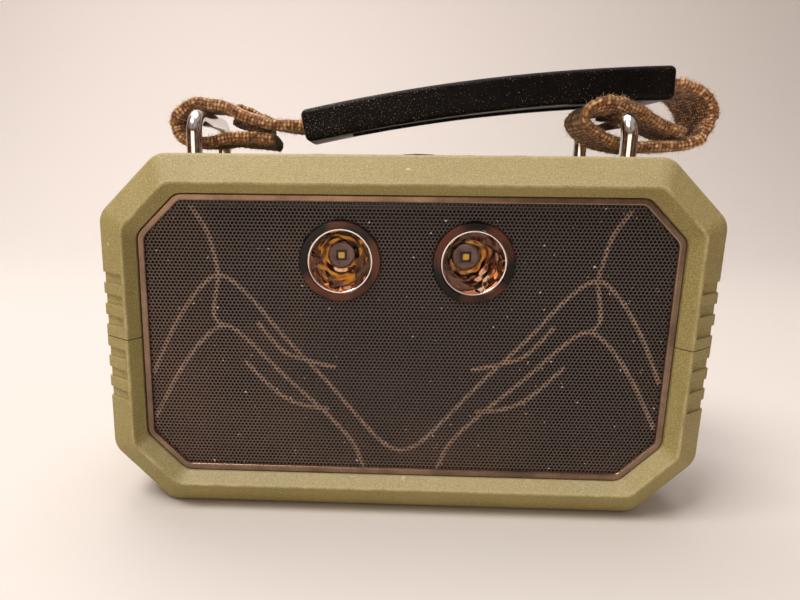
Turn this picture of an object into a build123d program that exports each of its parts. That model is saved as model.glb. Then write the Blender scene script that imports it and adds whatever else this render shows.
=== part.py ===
# Rugged portable speaker: an octagonal casing in two halves, a front grille with two lamps, two drivers,
# a rear passive radiator, a port flap, five keys, and a webbing handle on two wire bails.
# Millimetres. X to the right, Y to the rear, Z up. The origin is the centre of the base pad's underside.

import math
import os

from build123d import *

os.makedirs("parts", exist_ok=True)

# ---------------------------------------------------------------- casing
WIDTH = 190.0
HEIGHT = 114.0
DEPTH = 68.0
CORNER_CUT = 18.5           # 45 degree cut at each corner of the outline
CORNER_ROUND = 7.0          # rounding of the outline's eight corners
RIM_SLOPE_X = 9.0           # outer face of the rim, from the shoulder in to the ridge
RIM_SLOPE_Z = 8.75
RIM_SLOPE_DEPTH = 6.5
RIM_CUT_STEP = 5.0          # how much smaller the corner cut is at the ridge
WINDOW_BEVEL = 3.0          # inner face of the rim, from the ridge in to the window
WINDOW_BEVEL_DEPTH = 4.0
WINDOW_CUT_STEP = 1.0
RIM_LIP = 5.0               # straight wall of the window, behind its bevel
RIDGE_ROUND = 0.6
SHOULDER_ROUND = 1.8
WALL = 4.0
PARTING_GAP = 0.3           # visible line between the casing halves

RIB_PITCH = 6.8             # grooves down each side, above and below the parting line
RIB_GROOVE = 3.5
RIB_GROOVE_DEPTH = 0.9
RIB_FIRST = 5.2             # middle of the first groove from the parting line
RIB_COUNT = 3
RIB_START = 1.0             # the grooves start this far outside the ridge

SEAL_SIDE = 1.6             # cord seal in each side wall, along the parting line
SEAL_LENGTH = 48.0

PAD_LENGTH = 130.0
PAD_WIDTH = 40.0
PAD_THICK = 2.2
PAD_PROUD = 0.6             # the base pad stands this far below the casing

# ---------------------------------------------------------------- fits
SLIP = 0.1                  # between pieces that are laid together
CLEAR = 0.3                 # between pieces that move past each other
RUNNING = 0.05              # radial clearance of a pin in its bore

# ---------------------------------------------------------------- front
TRIM_WIDTH = 2.2
TRIM_STAND = 0.7            # front of the trim ring, behind the window's bevel
SHEET_RECESS = 1.1          # grille sheet behind the front of the trim ring
SHEET_THICK = 0.6
CLOTH_THICK = 0.4
BAFFLE_THICK = 3.0
GASKET_THICK = 0.6
LEDGE_WIDTH = 3.0           # rim of the baffle that carries the grille sheet

LAMP_X = 20.4
LAMP_RISE = 25.0            # lamp axis above the casing's middle
BEZEL_OUTER = 12.4
BEZEL_OPEN = 10.1
BEZEL_STAND = 0.9           # bezel in front of the grille sheet
BEZEL_LIP = 0.7             # bezel in front of the lens
LENS_RADIUS = 11.3
LENS_THICK = 1.2
REFLECTOR_RIM = 10.3
REFLECTOR_DEPTH = 15.5
REFLECTOR_WALL = 0.7
LED_HOLE = 3.3
LED_SIDE = 3.4
LED_HEIGHT = 0.9
LED_BOARD_THICK = 1.6
MAIN_BOARD_Y = 8.0          # front face of the main board
BOARD_POSTS = [(-58.0, 39.0), (0.0, 39.0), (0.0, 9.0)]      # X and height over the casing's middle
BOARD_POST_RADIUS = 2.5
HEATSINK_LENGTH = 6.0
HEATSINK_BASE = 2.0
FIN_PITCH = 3.6
FIN_GAP = 1.8
FIN_GAPS = 5

DRIVER_X = 47.0
DRIVER_DROP = 7.0           # driver axis below the casing's middle
DRIVER_OUTER = 28.0
DRIVER_OPEN = 24.0
DRIVER_FLANGE = 1.5
DRIVER_DEPTH = 15.0         # driver flange to magnet
CONE_RADIUS = 18.5
CONE_DEPTH = 8.0
CONE_WALL = 0.8
COIL_RADIUS = 8.0
MAGNET_RADIUS = 15.0
MAGNET_LENGTH = 9.0
BASKET_WALL = 1.2
BASKET_WINDOW = 14.0        # width of the four openings between the basket's legs
COIL_WALL = 0.8

# ---------------------------------------------------------------- rear
COVER_WALL = 2.5
COVER_STAND = 1.5           # cover's rear face, inside the window's bevel
RADIATOR_X = -24.0
RADIATOR_LENGTH = 84.0
RADIATOR_HEIGHT = 46.0
RADIATOR_FRAME = 5.0
RADIATOR_ROLL = 6.0
RADIATOR_THICK = 2.0
RADIATOR_TRAVEL = 1.5
SLOT_COUNT = 11
SLOT_WIDTH = 3.0
PORT_X = 52.0
PORT_LENGTH = 30.0
PORT_HEIGHT = 40.0
PORT_RIM = 2.5              # ledge round the port well, under the flap
PORT_WALL = 1.5
PORT_DEPTH = 7.5            # port well, from the flap's back to its floor
FLAP_THICK = 1.8
FLAP_PIN = 1.0
FLAP_KNUCKLE = 1.9
SOCKET_WALL = 0.6
# each socket's height from the casing's middle, half width and half height: audio, power and card
SOCKET_SIZES = [(11.0, 3.2, 3.2), (0.0, 4.7, 1.9), (-9.0, 6.2, 1.2)]

# ---------------------------------------------------------------- inside
CELL_RADIUS = 9.25
CELL_LENGTH = 65.0
CELL_GAP = 0.8              # between the two cells
CELL_TIP_RADIUS = 2.8
BOARD_THICK = 1.6
MAIN_BOARD = (-62.0, 30.0, 6.0, 42.0)       # left, right, bottom and top from the casing's middle
# chips on the main board: X, height over the casing's middle, width, height and thickness
CHIPS = [(-48, 24, 12, 12, 1.4), (-24, 30, 9, 9, 1.2), (4, 20, 16, 10, 2.2), (20, 33, 8, 12, 1.6)]
CAPACITORS = [-58.0, -38.0, -14.0]
CAPACITOR_RISE = 12.0
CAPACITOR_RADIUS = 2.6
BOSS_RADIUS = 4.0
BOSS_X = 72.0
BOSS_Y = 12.0
SCREW_RADIUS = 1.45
SCREW_HEAD = 2.8
SCREW_HEAD_HEIGHT = 2.0
SCREW_GRIP = 12.0           # casing screw, each side of the parting line

# ---------------------------------------------------------------- keys
KEY_X = 5.0                 # middle key
KEY_PITCH = 17.0
KEY_RADIUS = 5.5
KEY_STAND = 0.6
MIDDLE_KEY_STAND = 0.9
KEY_FLANGE = 6.8
KEY_FLANGE_THICK = 1.2
KEY_TRAVEL = 0.5
KEY_NAMES = ["key_power", "key_minus", "key_play", "key_plus", "key_lamp"]
PANEL_LENGTH = 90.0
PANEL_WIDTH = 22.0
PANEL_THICK = 1.2
PANEL_STAND = 0.4
SWITCH_SIDE = 6.0
SWITCH_HEIGHT = 2.4
KEY_POST_X = 43.5           # posts that hold the key board, from the middle key
KEY_POST_RADIUS = 2.0

# ---------------------------------------------------------------- bails and handle
WIRE = 4.8
BAIL_X = 66.0
BAIL_SPAN = 42.0            # between the axes of the bail's legs
BAIL_RISE = 13.7            # top of the bail over the casing
BAIL_BEND = 5.5
BAIL_TAIL = 6.0             # leg below the casing's inner face
NUT_RADIUS = 4.6
NUT_THICK = 3.2
WASHER_RADIUS = 3.9
WASHER_THICK = 0.8

GRIP_WIDTH = 26.0
GRIP_THICK = 10.2
GRIP_ROUND = 2.0
GRIP_ARC = [(-33.2, 9.0), (28.0, 19.3), (82.2, 22.9)]      # X and height over the casing
GRIP_RECESS = 0.8
GRIP_RECESS_WIDTH = 17.0
GRIP_PAD = 17.0             # full-depth stretch at each end of the grip

WEBBING = 2.6
WEBBING_WIDTH = 21.0
# X and height over the casing, along the middle of the webbing
LEFT_LOOP = [
    (-33.2, 9.0), (-37.4, 9.6), (-41.5, 9.7), (-45.7, 10.3), (-50.1, 11.8), (-54.9, 13.6), (-59.2, 15.3),
    (-63.5, 16.3), (-67.6, 16.3), (-71.4, 14.6), (-74.4, 12.0), (-75.2, 8.8), (-73.8, 6.1), (-71.0, 4.4),
    (-66.9, 4.1), (-62.2, 4.3), (-56.7, 4.9), (-52.4, 4.9), (-48.0, 4.8), (-43.6, 4.3),
]
RIGHT_LOOP = [
    (82.6, 22.9), (86.4, 22.2), (90.3, 20.7), (93.5, 18.1), (95.4, 14.6), (95.5, 10.9), (94.0, 7.5),
    (91.2, 5.3), (87.4, 4.2), (83.2, 3.8), (78.5, 3.8), (74.3, 4.0), (70.1, 4.4), (64.6, 5.9),
    (60.3, 8.5), (57.5, 11.0), (57.0, 13.1), (59.0, 14.9), (62.5, 15.35), (66.5, 15.25), (70.5, 14.5),
    (74.6, 13.0), (78.6, 11.4), (82.6, 9.9), (86.2, 8.6),
]

# ---------------------------------------------------------------- derived places
MID = PAD_PROUD + HEIGHT / 2
TOP = PAD_PROUD + HEIGHT
FRONT = -DEPTH / 2
RIDGE = (WIDTH / 2 - RIM_SLOPE_X, HEIGHT / 2 - RIM_SLOPE_Z, CORNER_CUT - RIM_CUT_STEP)
WINDOW = (RIDGE[0] - WINDOW_BEVEL, RIDGE[1] - WINDOW_BEVEL, RIDGE[2] - WINDOW_CUT_STEP)
LIP_FRONT = FRONT + WINDOW_BEVEL_DEPTH
LIP_BACK = LIP_FRONT + RIM_LIP
TRIM_FRONT = LIP_FRONT + TRIM_STAND
SHEET_FRONT = TRIM_FRONT + SHEET_RECESS
SHEET_BACK = SHEET_FRONT + SHEET_THICK
CLOTH_BACK = SHEET_BACK + SLIP + CLOTH_THICK
BAFFLE_FRONT = LIP_BACK + GASKET_THICK + SLIP / 2
BAFFLE_BACK = BAFFLE_FRONT + BAFFLE_THICK
COVER_BACK = -LIP_FRONT - COVER_STAND
COVER_INSIDE = COVER_BACK - COVER_WALL
FLANGE_BACK = -LIP_BACK - GASKET_THICK - SLIP / 2
FLANGE_FRONT = FLANGE_BACK - BAFFLE_THICK
LAMP_Z = MID + LAMP_RISE
DRIVER_Z = MID - DRIVER_DROP
CEILING = TOP - WALL
FLOOR = PAD_PROUD + WALL
BAIL_Z = TOP + BAIL_RISE - WIRE / 2
KEY_FOOT = CEILING - CLEAR - KEY_FLANGE_THICK
SWITCH_TOP = KEY_FOOT - KEY_TRAVEL - SLIP
KEY_BOARD_TOP = SWITCH_TOP - SWITCH_HEIGHT
SIDES = {"left": -1, "right": 1}

FACING_FRONT = (0, -1, 0)
DIAGONAL = 2 - math.sqrt(2)     # a corner cut shrinks by this share of an even inset


def inset(size, amount):
    """An octagon's half width, half height and corner cut, moved in evenly by an amount."""
    half_w, half_h, cut = size
    return (half_w - amount, half_h - amount, cut - amount * DIAGONAL)


def octagon(size, y, round_r):
    """A rounded octagon that faces the front, at depth y."""
    half_w, half_h, cut = size
    corners = [
        (half_w - cut, half_h), (half_w, half_h - cut), (half_w, cut - half_h), (half_w - cut, -half_h),
        (cut - half_w, -half_h), (-half_w, cut - half_h), (-half_w, half_h - cut), (cut - half_w, half_h),
    ]
    flat = Polygon(*corners, align=None)
    flat = fillet(flat.vertices(), round_r)
    return Plane((0, y, MID), x_dir=(1, 0, 0), z_dir=FACING_FRONT) * flat


def octagon_prism(size, y0, y1, round_r):
    return extrude(octagon(size, y0, round_r), amount=y1 - y0, dir=(0, 1, 0))


def octagon_ring(outer, inner, y0, y1, round_r):
    width = outer[0] - inner[0]
    return octagon_prism(outer, y0, y1, round_r) - octagon_prism(
        inner, y0 - 1, y1 + 1, max(round_r - width, 0.5)
    )


def disc(x, z, radius, y0, y1):
    """A cylinder along Y."""
    plane = Plane((x, y0, z), x_dir=(1, 0, 0), z_dir=(0, 1, 0))
    return extrude(plane * Circle(radius), amount=y1 - y0)


def post(x, y, radius, z0, z1):
    """A cylinder along Z."""
    return extrude(Plane((x, y, z0)) * Circle(radius), amount=z1 - z0)


def block(x0, x1, y0, y1, z0, z1):
    return Pos((x0 + x1) / 2, (y0 + y1) / 2, (z0 + z1) / 2) * Box(x1 - x0, y1 - y0, z1 - z0)


def racetrack(x, z, length, height, y0, y1):
    """A slot-shaped plate that faces the front, centred on x and z."""
    plane = Plane((x, y0, z), x_dir=(1, 0, 0), z_dir=FACING_FRONT)
    return extrude(plane * SlotOverall(length, height), amount=y1 - y0, dir=(0, 1, 0))


def turned(x, z, profile):
    """A solid of revolution about the Y axis through x and z, from (radius, y) corners."""
    plane = Plane((x, 0, z), x_dir=(1, 0, 0), z_dir=(0, 0, 1))
    return revolve(plane * make_face(Polyline(*profile, close=True)), Axis((x, 0, z), (0, 1, 0)))


def save(name, *solids):
    """Writes one node, with the name on its shape."""
    if len(solids) == 1:
        shape = solids[0]
    else:
        shape = Compound(children=[s for piece in solids for s in piece.solids()])
    shape.label = name
    export_step(shape, f"parts/{name}.step")
    print(f"{name:24s} {sum(s.volume for s in shape.solids()) / 1000:9.3f} cm3")
    return shape


# ================================================================ casing halves
OUTLINE = (WIDTH / 2, HEIGHT / 2, CORNER_CUT)
SHOULDER = FRONT + RIM_SLOPE_DEPTH
RIDGE_CORNER_ROUND = CORNER_ROUND - 2.0


def casing_block(skin):
    """The casing's outside as one solid, or the same moved in by a skin."""
    outline = inset(OUTLINE, skin)
    ridge = inset(RIDGE, skin)
    middle = octagon_prism(outline, SHOULDER, -SHOULDER, CORNER_ROUND)
    ends = [octagon(ridge, FRONT + skin, RIDGE_CORNER_ROUND), octagon(outline, SHOULDER, CORNER_ROUND)]
    front = loft(ends, ruled=True)
    return middle + front + mirror(front, Plane.XZ)


def window_cut():
    """The octagonal opening: a bevel from the ridge, then a straight wall into the cavity."""
    ends = [octagon(RIDGE, FRONT, RIDGE_CORNER_ROUND), octagon(WINDOW, LIP_FRONT, RIDGE_CORNER_ROUND)]
    bevel = loft(ends, ruled=True)
    return bevel + octagon_prism(WINDOW, LIP_FRONT, LIP_BACK + 1, RIDGE_CORNER_ROUND)


def rib_grooves():
    """Grooves that run round both sides, between the front ridge and the rear one."""
    bands = []
    for row in range(RIB_COUNT):
        for up in (-1, 1):
            z = MID + up * (RIB_FIRST + row * RIB_PITCH)
            for side in (-1, 1):
                inner_x = side * (RIDGE[0] + RIB_START)
                outer_x = side * WIDTH
                low, high = sorted((inner_x, outer_x))
                bands.append(block(low, high, -DEPTH, DEPTH, z - RIB_GROOVE / 2, z + RIB_GROOVE / 2))
    return Part() + bands - casing_block(RIB_GROOVE_DEPTH)


def casing_whole():
    shell = casing_block(0)
    shell -= window_cut()
    shell -= mirror(window_cut(), Plane.XZ)
    shoulders = [e for e in shell.edges() if abs(abs(e.center().Y) + SHOULDER) < 0.01 and e.length > 0.5]
    shell = fillet(shoulders, SHOULDER_ROUND)
    ridges = [e for e in shell.edges() if abs(abs(e.center().Y) + FRONT) < 0.01]
    shell = fillet(ridges, RIDGE_ROUND)
    shell -= octagon_prism(inset(OUTLINE, WALL), LIP_BACK, -LIP_BACK, CORNER_ROUND - WALL / 2)
    shell -= rib_grooves()
    # key panel recess and key holes in the top
    shell -= block(
        KEY_X - PANEL_LENGTH / 2 - SLIP, KEY_X + PANEL_LENGTH / 2 + SLIP,
        -PANEL_WIDTH / 2 - SLIP, PANEL_WIDTH / 2 + SLIP, TOP - PANEL_THICK + PANEL_STAND, TOP + 1,
    )
    for x in key_places():
        shell -= post(x, 0, KEY_RADIUS + CLEAR, CEILING - 1, TOP + 1)
    for side in SIDES.values():
        for leg in (-1, 1):
            shell -= post(side * BAIL_X, leg * BAIL_SPAN / 2, WIRE / 2 + SLIP, CEILING - 1, TOP + 1)
    shell -= block(
        -PAD_LENGTH / 2 - SLIP, PAD_LENGTH / 2 + SLIP, -PAD_WIDTH / 2 - SLIP, PAD_WIDTH / 2 + SLIP,
        0, PAD_THICK + SLIP,
    )
    # screw bosses down each side
    for x, y in boss_places():
        shell += post(x, y, BOSS_RADIUS, FLOOR - 1, CEILING + 1)
        shell -= post(x, y, SCREW_RADIUS + SLIP, MID - SCREW_GRIP - 1, MID + SCREW_GRIP + 1)
        shell -= post(x, y, SCREW_HEAD + SLIP, 0, MID - SCREW_GRIP)
    for side in SIDES.values():
        shell -= seal_groove(side)
        shell += post(KEY_X + side * KEY_POST_X, 0, KEY_POST_RADIUS, KEY_BOARD_TOP + SLIP, CEILING + 1)
    return shell


def key_places():
    return [KEY_X + (i - 2) * KEY_PITCH for i in range(len(KEY_NAMES))]


def boss_places():
    return [(side * BOSS_X, y) for side in SIDES.values() for y in (-BOSS_Y, BOSS_Y)]


def seal_groove(side, gap=SLIP):
    """The cord seal between the halves, or with a gap its groove, half in each wall."""
    x = side * (WIDTH / 2 - WALL / 2 - RIB_GROOVE_DEPTH / 2)
    half = SEAL_SIDE / 2 + gap
    long = SEAL_LENGTH / 2 + gap
    return block(x - half / 2, x + half / 2, -long, long, MID - half, MID + half)


casing = casing_whole()
half_gap = PARTING_GAP / 2
above = block(-WIDTH, WIDTH, -DEPTH, DEPTH, MID + half_gap, TOP + 10)
below = block(-WIDTH, WIDTH, -DEPTH, DEPTH, -10, MID - half_gap)
save("casing_upper", casing & above)
save("casing_lower", casing & below)
save("casing_seals", *[seal_groove(side, 0) for side in SIDES.values()])


def base_pad():
    pad = block(-PAD_LENGTH / 2, PAD_LENGTH / 2, -PAD_WIDTH / 2, PAD_WIDTH / 2, 0, PAD_THICK)
    return fillet(pad.edges().group_by(Axis.Z)[0], 0.4)


save("base_pad", base_pad())


def casing_screw(x, y):
    head = MID - SCREW_GRIP
    return post(x, y, SCREW_RADIUS, head - 0.5, MID + SCREW_GRIP) + post(
        x, y, SCREW_HEAD, head - SCREW_HEAD_HEIGHT - SLIP, head - SLIP
    )


save("casing_screws", *[casing_screw(x, y) for x, y in boss_places()])

# ================================================================ front: trim, grille, cloth, baffle
TRIM_OUTER = inset(WINDOW, SLIP)
TRIM_INNER = inset(TRIM_OUTER, TRIM_WIDTH)
SHEET_EDGE = inset(TRIM_OUTER, TRIM_WIDTH / 2)
LEDGE_INNER = inset(SHEET_EDGE, LEDGE_WIDTH)
FLANGE = inset(OUTLINE, WALL + SLIP * 2)
FRONT_ROUND = RIDGE_CORNER_ROUND - 1.0


def grille_trim():
    ring = octagon_ring(TRIM_OUTER, TRIM_INNER, TRIM_FRONT, LIP_BACK, RIDGE_CORNER_ROUND)
    ring -= octagon_prism(inset(SHEET_EDGE, -SLIP), SHEET_FRONT - SLIP / 2, LIP_BACK + 1, FRONT_ROUND)
    return fillet([e for e in ring.edges() if abs(e.center().Y - TRIM_FRONT) < 0.01], 0.5)


save("grille_trim", grille_trim())


def lamp_holes(radius, y0, y1):
    return [disc(side * LAMP_X, LAMP_Z, radius, y0, y1) for side in SIDES.values()]


save(
    "grille_sheet",
    octagon_prism(SHEET_EDGE, SHEET_FRONT, SHEET_BACK, FRONT_ROUND)
    - lamp_holes(BEZEL_OUTER + SLIP, SHEET_FRONT - 1, SHEET_BACK + 1),
)
save(
    "grille_cloth",
    octagon_prism(inset(LEDGE_INNER, SLIP), SHEET_BACK + SLIP, CLOTH_BACK, FRONT_ROUND)
    - lamp_holes(BEZEL_OUTER + SLIP, SHEET_BACK, CLOTH_BACK + 1),
)


def bail_notches():
    """Room at the top edge of the inner plates for the bails' nuts."""
    foot = CEILING - BAIL_TAIL - CLEAR
    return [
        post(side * BAIL_X, leg * BAIL_SPAN / 2, NUT_RADIUS + CLEAR, foot, TOP)
        for side in SIDES.values() for leg in (-1, 1)
    ]


def plate_gasket(y0, y1):
    """A flat gasket between a plate's edge and the casing's lip."""
    ring = octagon_ring(FLANGE, inset(WINDOW, -SLIP), y0, y1, RIDGE_CORNER_ROUND)
    return ring - bail_notches()


def front_baffle():
    plate = octagon_prism(FLANGE, BAFFLE_FRONT, BAFFLE_BACK, CORNER_ROUND - WALL / 2)
    for x, z in BOARD_POSTS:
        plate += disc(x, MID + z, BOARD_POST_RADIUS, BAFFLE_BACK - 1, MAIN_BOARD_Y - SLIP)
    plate -= bail_notches()
    plate += octagon_ring(SHEET_EDGE, LEDGE_INNER, SHEET_BACK + SLIP, BAFFLE_FRONT + 0.5, FRONT_ROUND)
    for side in SIDES.values():
        plate -= disc(side * DRIVER_X, DRIVER_Z, DRIVER_OPEN, BAFFLE_FRONT - 1, BAFFLE_BACK + 1)
    return plate - lamp_holes(REFLECTOR_RIM + REFLECTOR_WALL + CLEAR, LIP_BACK - 1, BAFFLE_BACK + 1)


save("front_baffle", front_baffle())
save("front_gasket", plate_gasket(LIP_BACK + SLIP / 2, BAFFLE_FRONT - SLIP / 2))

# ================================================================ lamps
BEZEL_FRONT = SHEET_FRONT - BEZEL_STAND
LENS_FRONT = BEZEL_FRONT + BEZEL_LIP + SLIP
REFLECTOR_FRONT = LENS_FRONT + LENS_THICK + SLIP
REFLECTOR_APEX = REFLECTOR_FRONT + REFLECTOR_DEPTH
FOCAL = REFLECTOR_RIM**2 / (4 * REFLECTOR_DEPTH)
BOARD_FRONT = REFLECTOR_APEX - LED_HOLE**2 / (4 * FOCAL) + SLIP


def lamp_bezel(x):
    ring = disc(x, LAMP_Z, BEZEL_OUTER, BEZEL_FRONT, BAFFLE_FRONT - SLIP)
    ring -= disc(x, LAMP_Z, BEZEL_OPEN, BEZEL_FRONT - 1, BAFFLE_FRONT)
    ring -= disc(x, LAMP_Z, LENS_RADIUS + SLIP, LENS_FRONT - SLIP, BAFFLE_FRONT)
    return fillet([e for e in ring.edges() if abs(e.center().Y - BEZEL_FRONT) < 0.01], BEZEL_LIP / 2)


def reflector(x):
    """A thin parabolic cup, open at its rim and at the LED."""
    steps = 8
    radii = [LED_HOLE + (REFLECTOR_RIM - LED_HOLE) * i / steps for i in range(steps + 1)]
    bowl = [(r, REFLECTOR_APEX - r**2 / (4 * FOCAL)) for r in radii]
    back = [(r + REFLECTOR_WALL, REFLECTOR_APEX - r**2 / (4 * FOCAL)) for r in radii]
    outline = Spline(*bowl) + Line(bowl[-1], back[-1])
    outline += Spline(*reversed(back)) + Line(back[0], bowl[0])
    plane = Plane((x, 0, LAMP_Z), x_dir=(1, 0, 0), z_dir=(0, 0, 1))
    return revolve(plane * make_face(outline), Axis((x, 0, LAMP_Z), (0, 1, 0)))


def lamp_led(x):
    """The LED on its round board, with a square package and a small dome."""
    board = disc(x, LAMP_Z, REFLECTOR_RIM, BOARD_FRONT, BOARD_FRONT + LED_BOARD_THICK)
    half = LED_SIDE / 2
    board += block(x - half, x + half, BOARD_FRONT - LED_HEIGHT, BOARD_FRONT, LAMP_Z - half, LAMP_Z + half)
    return board


def heatsink(x):
    base = BOARD_FRONT + LED_BOARD_THICK + SLIP
    body = disc(x, LAMP_Z, REFLECTOR_RIM, base, base + HEATSINK_LENGTH)
    low, high = LAMP_Z - HEIGHT, LAMP_Z + HEIGHT
    for i in range(FIN_GAPS):
        gap_x = x + FIN_PITCH * (i - (FIN_GAPS - 1) / 2)
        gap = (gap_x - FIN_GAP / 2, gap_x + FIN_GAP / 2)
        body -= block(*gap, base + HEATSINK_BASE, base + HEATSINK_LENGTH + 1, low, high)
    return body


for side_name, side in SIDES.items():
    lamp_x = side * LAMP_X
    save(f"lamp_bezel_{side_name}", lamp_bezel(lamp_x))
    save(
        f"lamp_lens_{side_name}",
        disc(lamp_x, LAMP_Z, LENS_RADIUS, LENS_FRONT, LENS_FRONT + LENS_THICK),
    )
    save(f"lamp_reflector_{side_name}", reflector(lamp_x))
    save(f"lamp_led_{side_name}", lamp_led(lamp_x))
    save(f"lamp_heatsink_{side_name}", heatsink(lamp_x))

# ================================================================ drivers
DRIVER_FRONT = BAFFLE_BACK + SLIP
MAGNET_FRONT = DRIVER_FRONT + DRIVER_DEPTH
CONE_FRONT = DRIVER_FRONT - 0.8


def driver_frame(x):
    """A pressed basket: a flange behind the baffle, and four legs down to the magnet."""
    back = MAGNET_FRONT
    inside = back - BASKET_WALL
    flange_back = DRIVER_FRONT + DRIVER_FLANGE
    basket = turned(x, DRIVER_Z, [
        (DRIVER_OPEN - 1, DRIVER_FRONT), (DRIVER_OUTER, DRIVER_FRONT), (DRIVER_OUTER, flange_back),
        (DRIVER_OPEN, flange_back), (MAGNET_RADIUS, back), (COIL_RADIUS + 2, back),
        (COIL_RADIUS + 2, inside), (MAGNET_RADIUS - 1, inside), (DRIVER_OPEN - 1, DRIVER_FRONT + 2),
    ])
    half = BASKET_WINDOW / 2
    for turn in range(4):
        window = block(-half, half, DRIVER_FRONT + 4, back - 3, 0, DRIVER_OUTER)
        basket -= Pos(x, 0, DRIVER_Z) * Rot(0, 45 + 90 * turn, 0) * window
    return basket


def driver_magnet(x):
    ring = disc(x, DRIVER_Z, MAGNET_RADIUS, MAGNET_FRONT + SLIP, MAGNET_FRONT + MAGNET_LENGTH)
    return ring - disc(x, DRIVER_Z, COIL_RADIUS + 1, MAGNET_FRONT - 1, MAGNET_FRONT + MAGNET_LENGTH - 2)


def driver_cone(x):
    """Paper cone with its dust cap and voice coil."""
    neck = CONE_FRONT + CONE_DEPTH
    coil_back = MAGNET_FRONT + 3
    return turned(x, DRIVER_Z, [
        (CONE_RADIUS, CONE_FRONT), (CONE_RADIUS, CONE_FRONT + CONE_WALL), (COIL_RADIUS, neck + CONE_WALL),
        (COIL_RADIUS, coil_back), (COIL_RADIUS - COIL_WALL, coil_back), (COIL_RADIUS - COIL_WALL, neck),
        (0, neck - 1.5), (0, neck - 1.5 - CONE_WALL), (COIL_RADIUS, neck - 0.9),
    ])


def driver_surround(x):
    """Rubber roll between the cone and the frame."""
    outer = DRIVER_OPEN - 1.2
    foot = DRIVER_FRONT + 1
    crest = CONE_FRONT - 1
    under = CONE_FRONT + 0.6
    return turned(x, DRIVER_Z, [
        (CONE_RADIUS + SLIP, CONE_FRONT), (CONE_RADIUS + 1, crest), (DRIVER_OPEN - 3, crest),
        (outer, CONE_FRONT), (outer, foot), (outer - 0.8, foot), (outer - 1.2, under),
        (CONE_RADIUS + SLIP, under),
    ])


for side_name, side in SIDES.items():
    driver_x = side * DRIVER_X
    save(f"driver_frame_{side_name}", driver_frame(driver_x))
    save(f"driver_magnet_{side_name}", driver_magnet(driver_x))
    save(f"driver_cone_{side_name}", driver_cone(driver_x))
    save(f"driver_surround_{side_name}", driver_surround(driver_x))

# ================================================================ rear cover, passive radiator
COVER_EDGE = inset(WINDOW, SLIP)
FLAP_FRONT = COVER_BACK - FLAP_THICK
WELL_FLOOR = FLAP_FRONT - SLIP - PORT_DEPTH
PIN_Y = FLAP_FRONT - 0.2
PIN_Z = MID - PORT_HEIGHT / 2 + FLAP_KNUCKLE + 2 * CLEAR + SLIP
WELL_HALF_X = PORT_LENGTH / 2 + CLEAR
WELL_HALF_Z = PORT_HEIGHT / 2 + CLEAR
WELL_SIDE = 1.2


def rear_cover():
    cover = octagon_prism(COVER_EDGE, FLANGE_FRONT, COVER_BACK, RIDGE_CORNER_ROUND)
    cover = fillet([e for e in cover.edges() if abs(e.center().Y - COVER_BACK) < 0.01], 0.8)
    cover += octagon_prism(FLANGE, FLANGE_FRONT, FLANGE_BACK, CORNER_ROUND - WALL / 2)
    cover -= octagon_prism(LEDGE_INNER, FLANGE_FRONT - 1, COVER_INSIDE, FRONT_ROUND)
    spread = RADIATOR_LENGTH - 2 * RADIATOR_FRAME - 2 * RADIATOR_ROLL
    for i in range(SLOT_COUNT):
        x = RADIATOR_X - spread / 2 + spread * i / (SLOT_COUNT - 1)
        height = RADIATOR_HEIGHT - 2 * RADIATOR_FRAME
        slot = extrude(SlotOverall(height, SLOT_WIDTH), amount=COVER_WALL + 2, both=True)
        cover -= Pos(x, (COVER_INSIDE + COVER_BACK) / 2, MID) * Rot(0, 90, 0) * Rot(90, 0, 0) * slot
    half_x = WELL_HALF_X + SLIP
    half_z = WELL_HALF_Z + SLIP
    cover -= block(
        PORT_X - half_x, PORT_X + half_x, COVER_INSIDE - 1, COVER_BACK + 1, MID - half_z, MID + half_z
    )
    return cover - bail_notches()


save("rear_cover", rear_cover())
save("rear_gasket", plate_gasket(FLANGE_BACK + SLIP / 2, -LIP_BACK - SLIP / 2))

RADIATOR_BACK = COVER_INSIDE - SLIP
ROLL_INNER = RADIATOR_FRAME + RADIATOR_ROLL
PLATE_BACK = COVER_INSIDE - RADIATOR_TRAVEL - 1.0


def radiator_track(border, y0, y1):
    return racetrack(RADIATOR_X, MID, RADIATOR_LENGTH - 2 * border, RADIATOR_HEIGHT - 2 * border, y0, y1)


save(
    "radiator_frame",
    radiator_track(0, RADIATOR_BACK - 3, RADIATOR_BACK)
    - radiator_track(RADIATOR_FRAME, RADIATOR_BACK - 4, RADIATOR_BACK + 1),
)
save("radiator_plate", radiator_track(ROLL_INNER, PLATE_BACK - RADIATOR_THICK, PLATE_BACK))
save(
    "radiator_surround",
    radiator_track(RADIATOR_FRAME + SLIP, PLATE_BACK - 1.6, PLATE_BACK - 0.6)
    - radiator_track(ROLL_INNER - SLIP, PLATE_BACK - 4, PLATE_BACK + 1),
)

# ================================================================ ports and their flap
SOCKETS = [(MID + rise, half_w, half_h) for rise, half_w, half_h in SOCKET_SIZES]


def along_x(y, z, radius, length):
    """A cylinder along X through the port's middle."""
    return Pos(PORT_X, y, z) * Rot(0, 90, 0) * Cylinder(radius, length)


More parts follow.
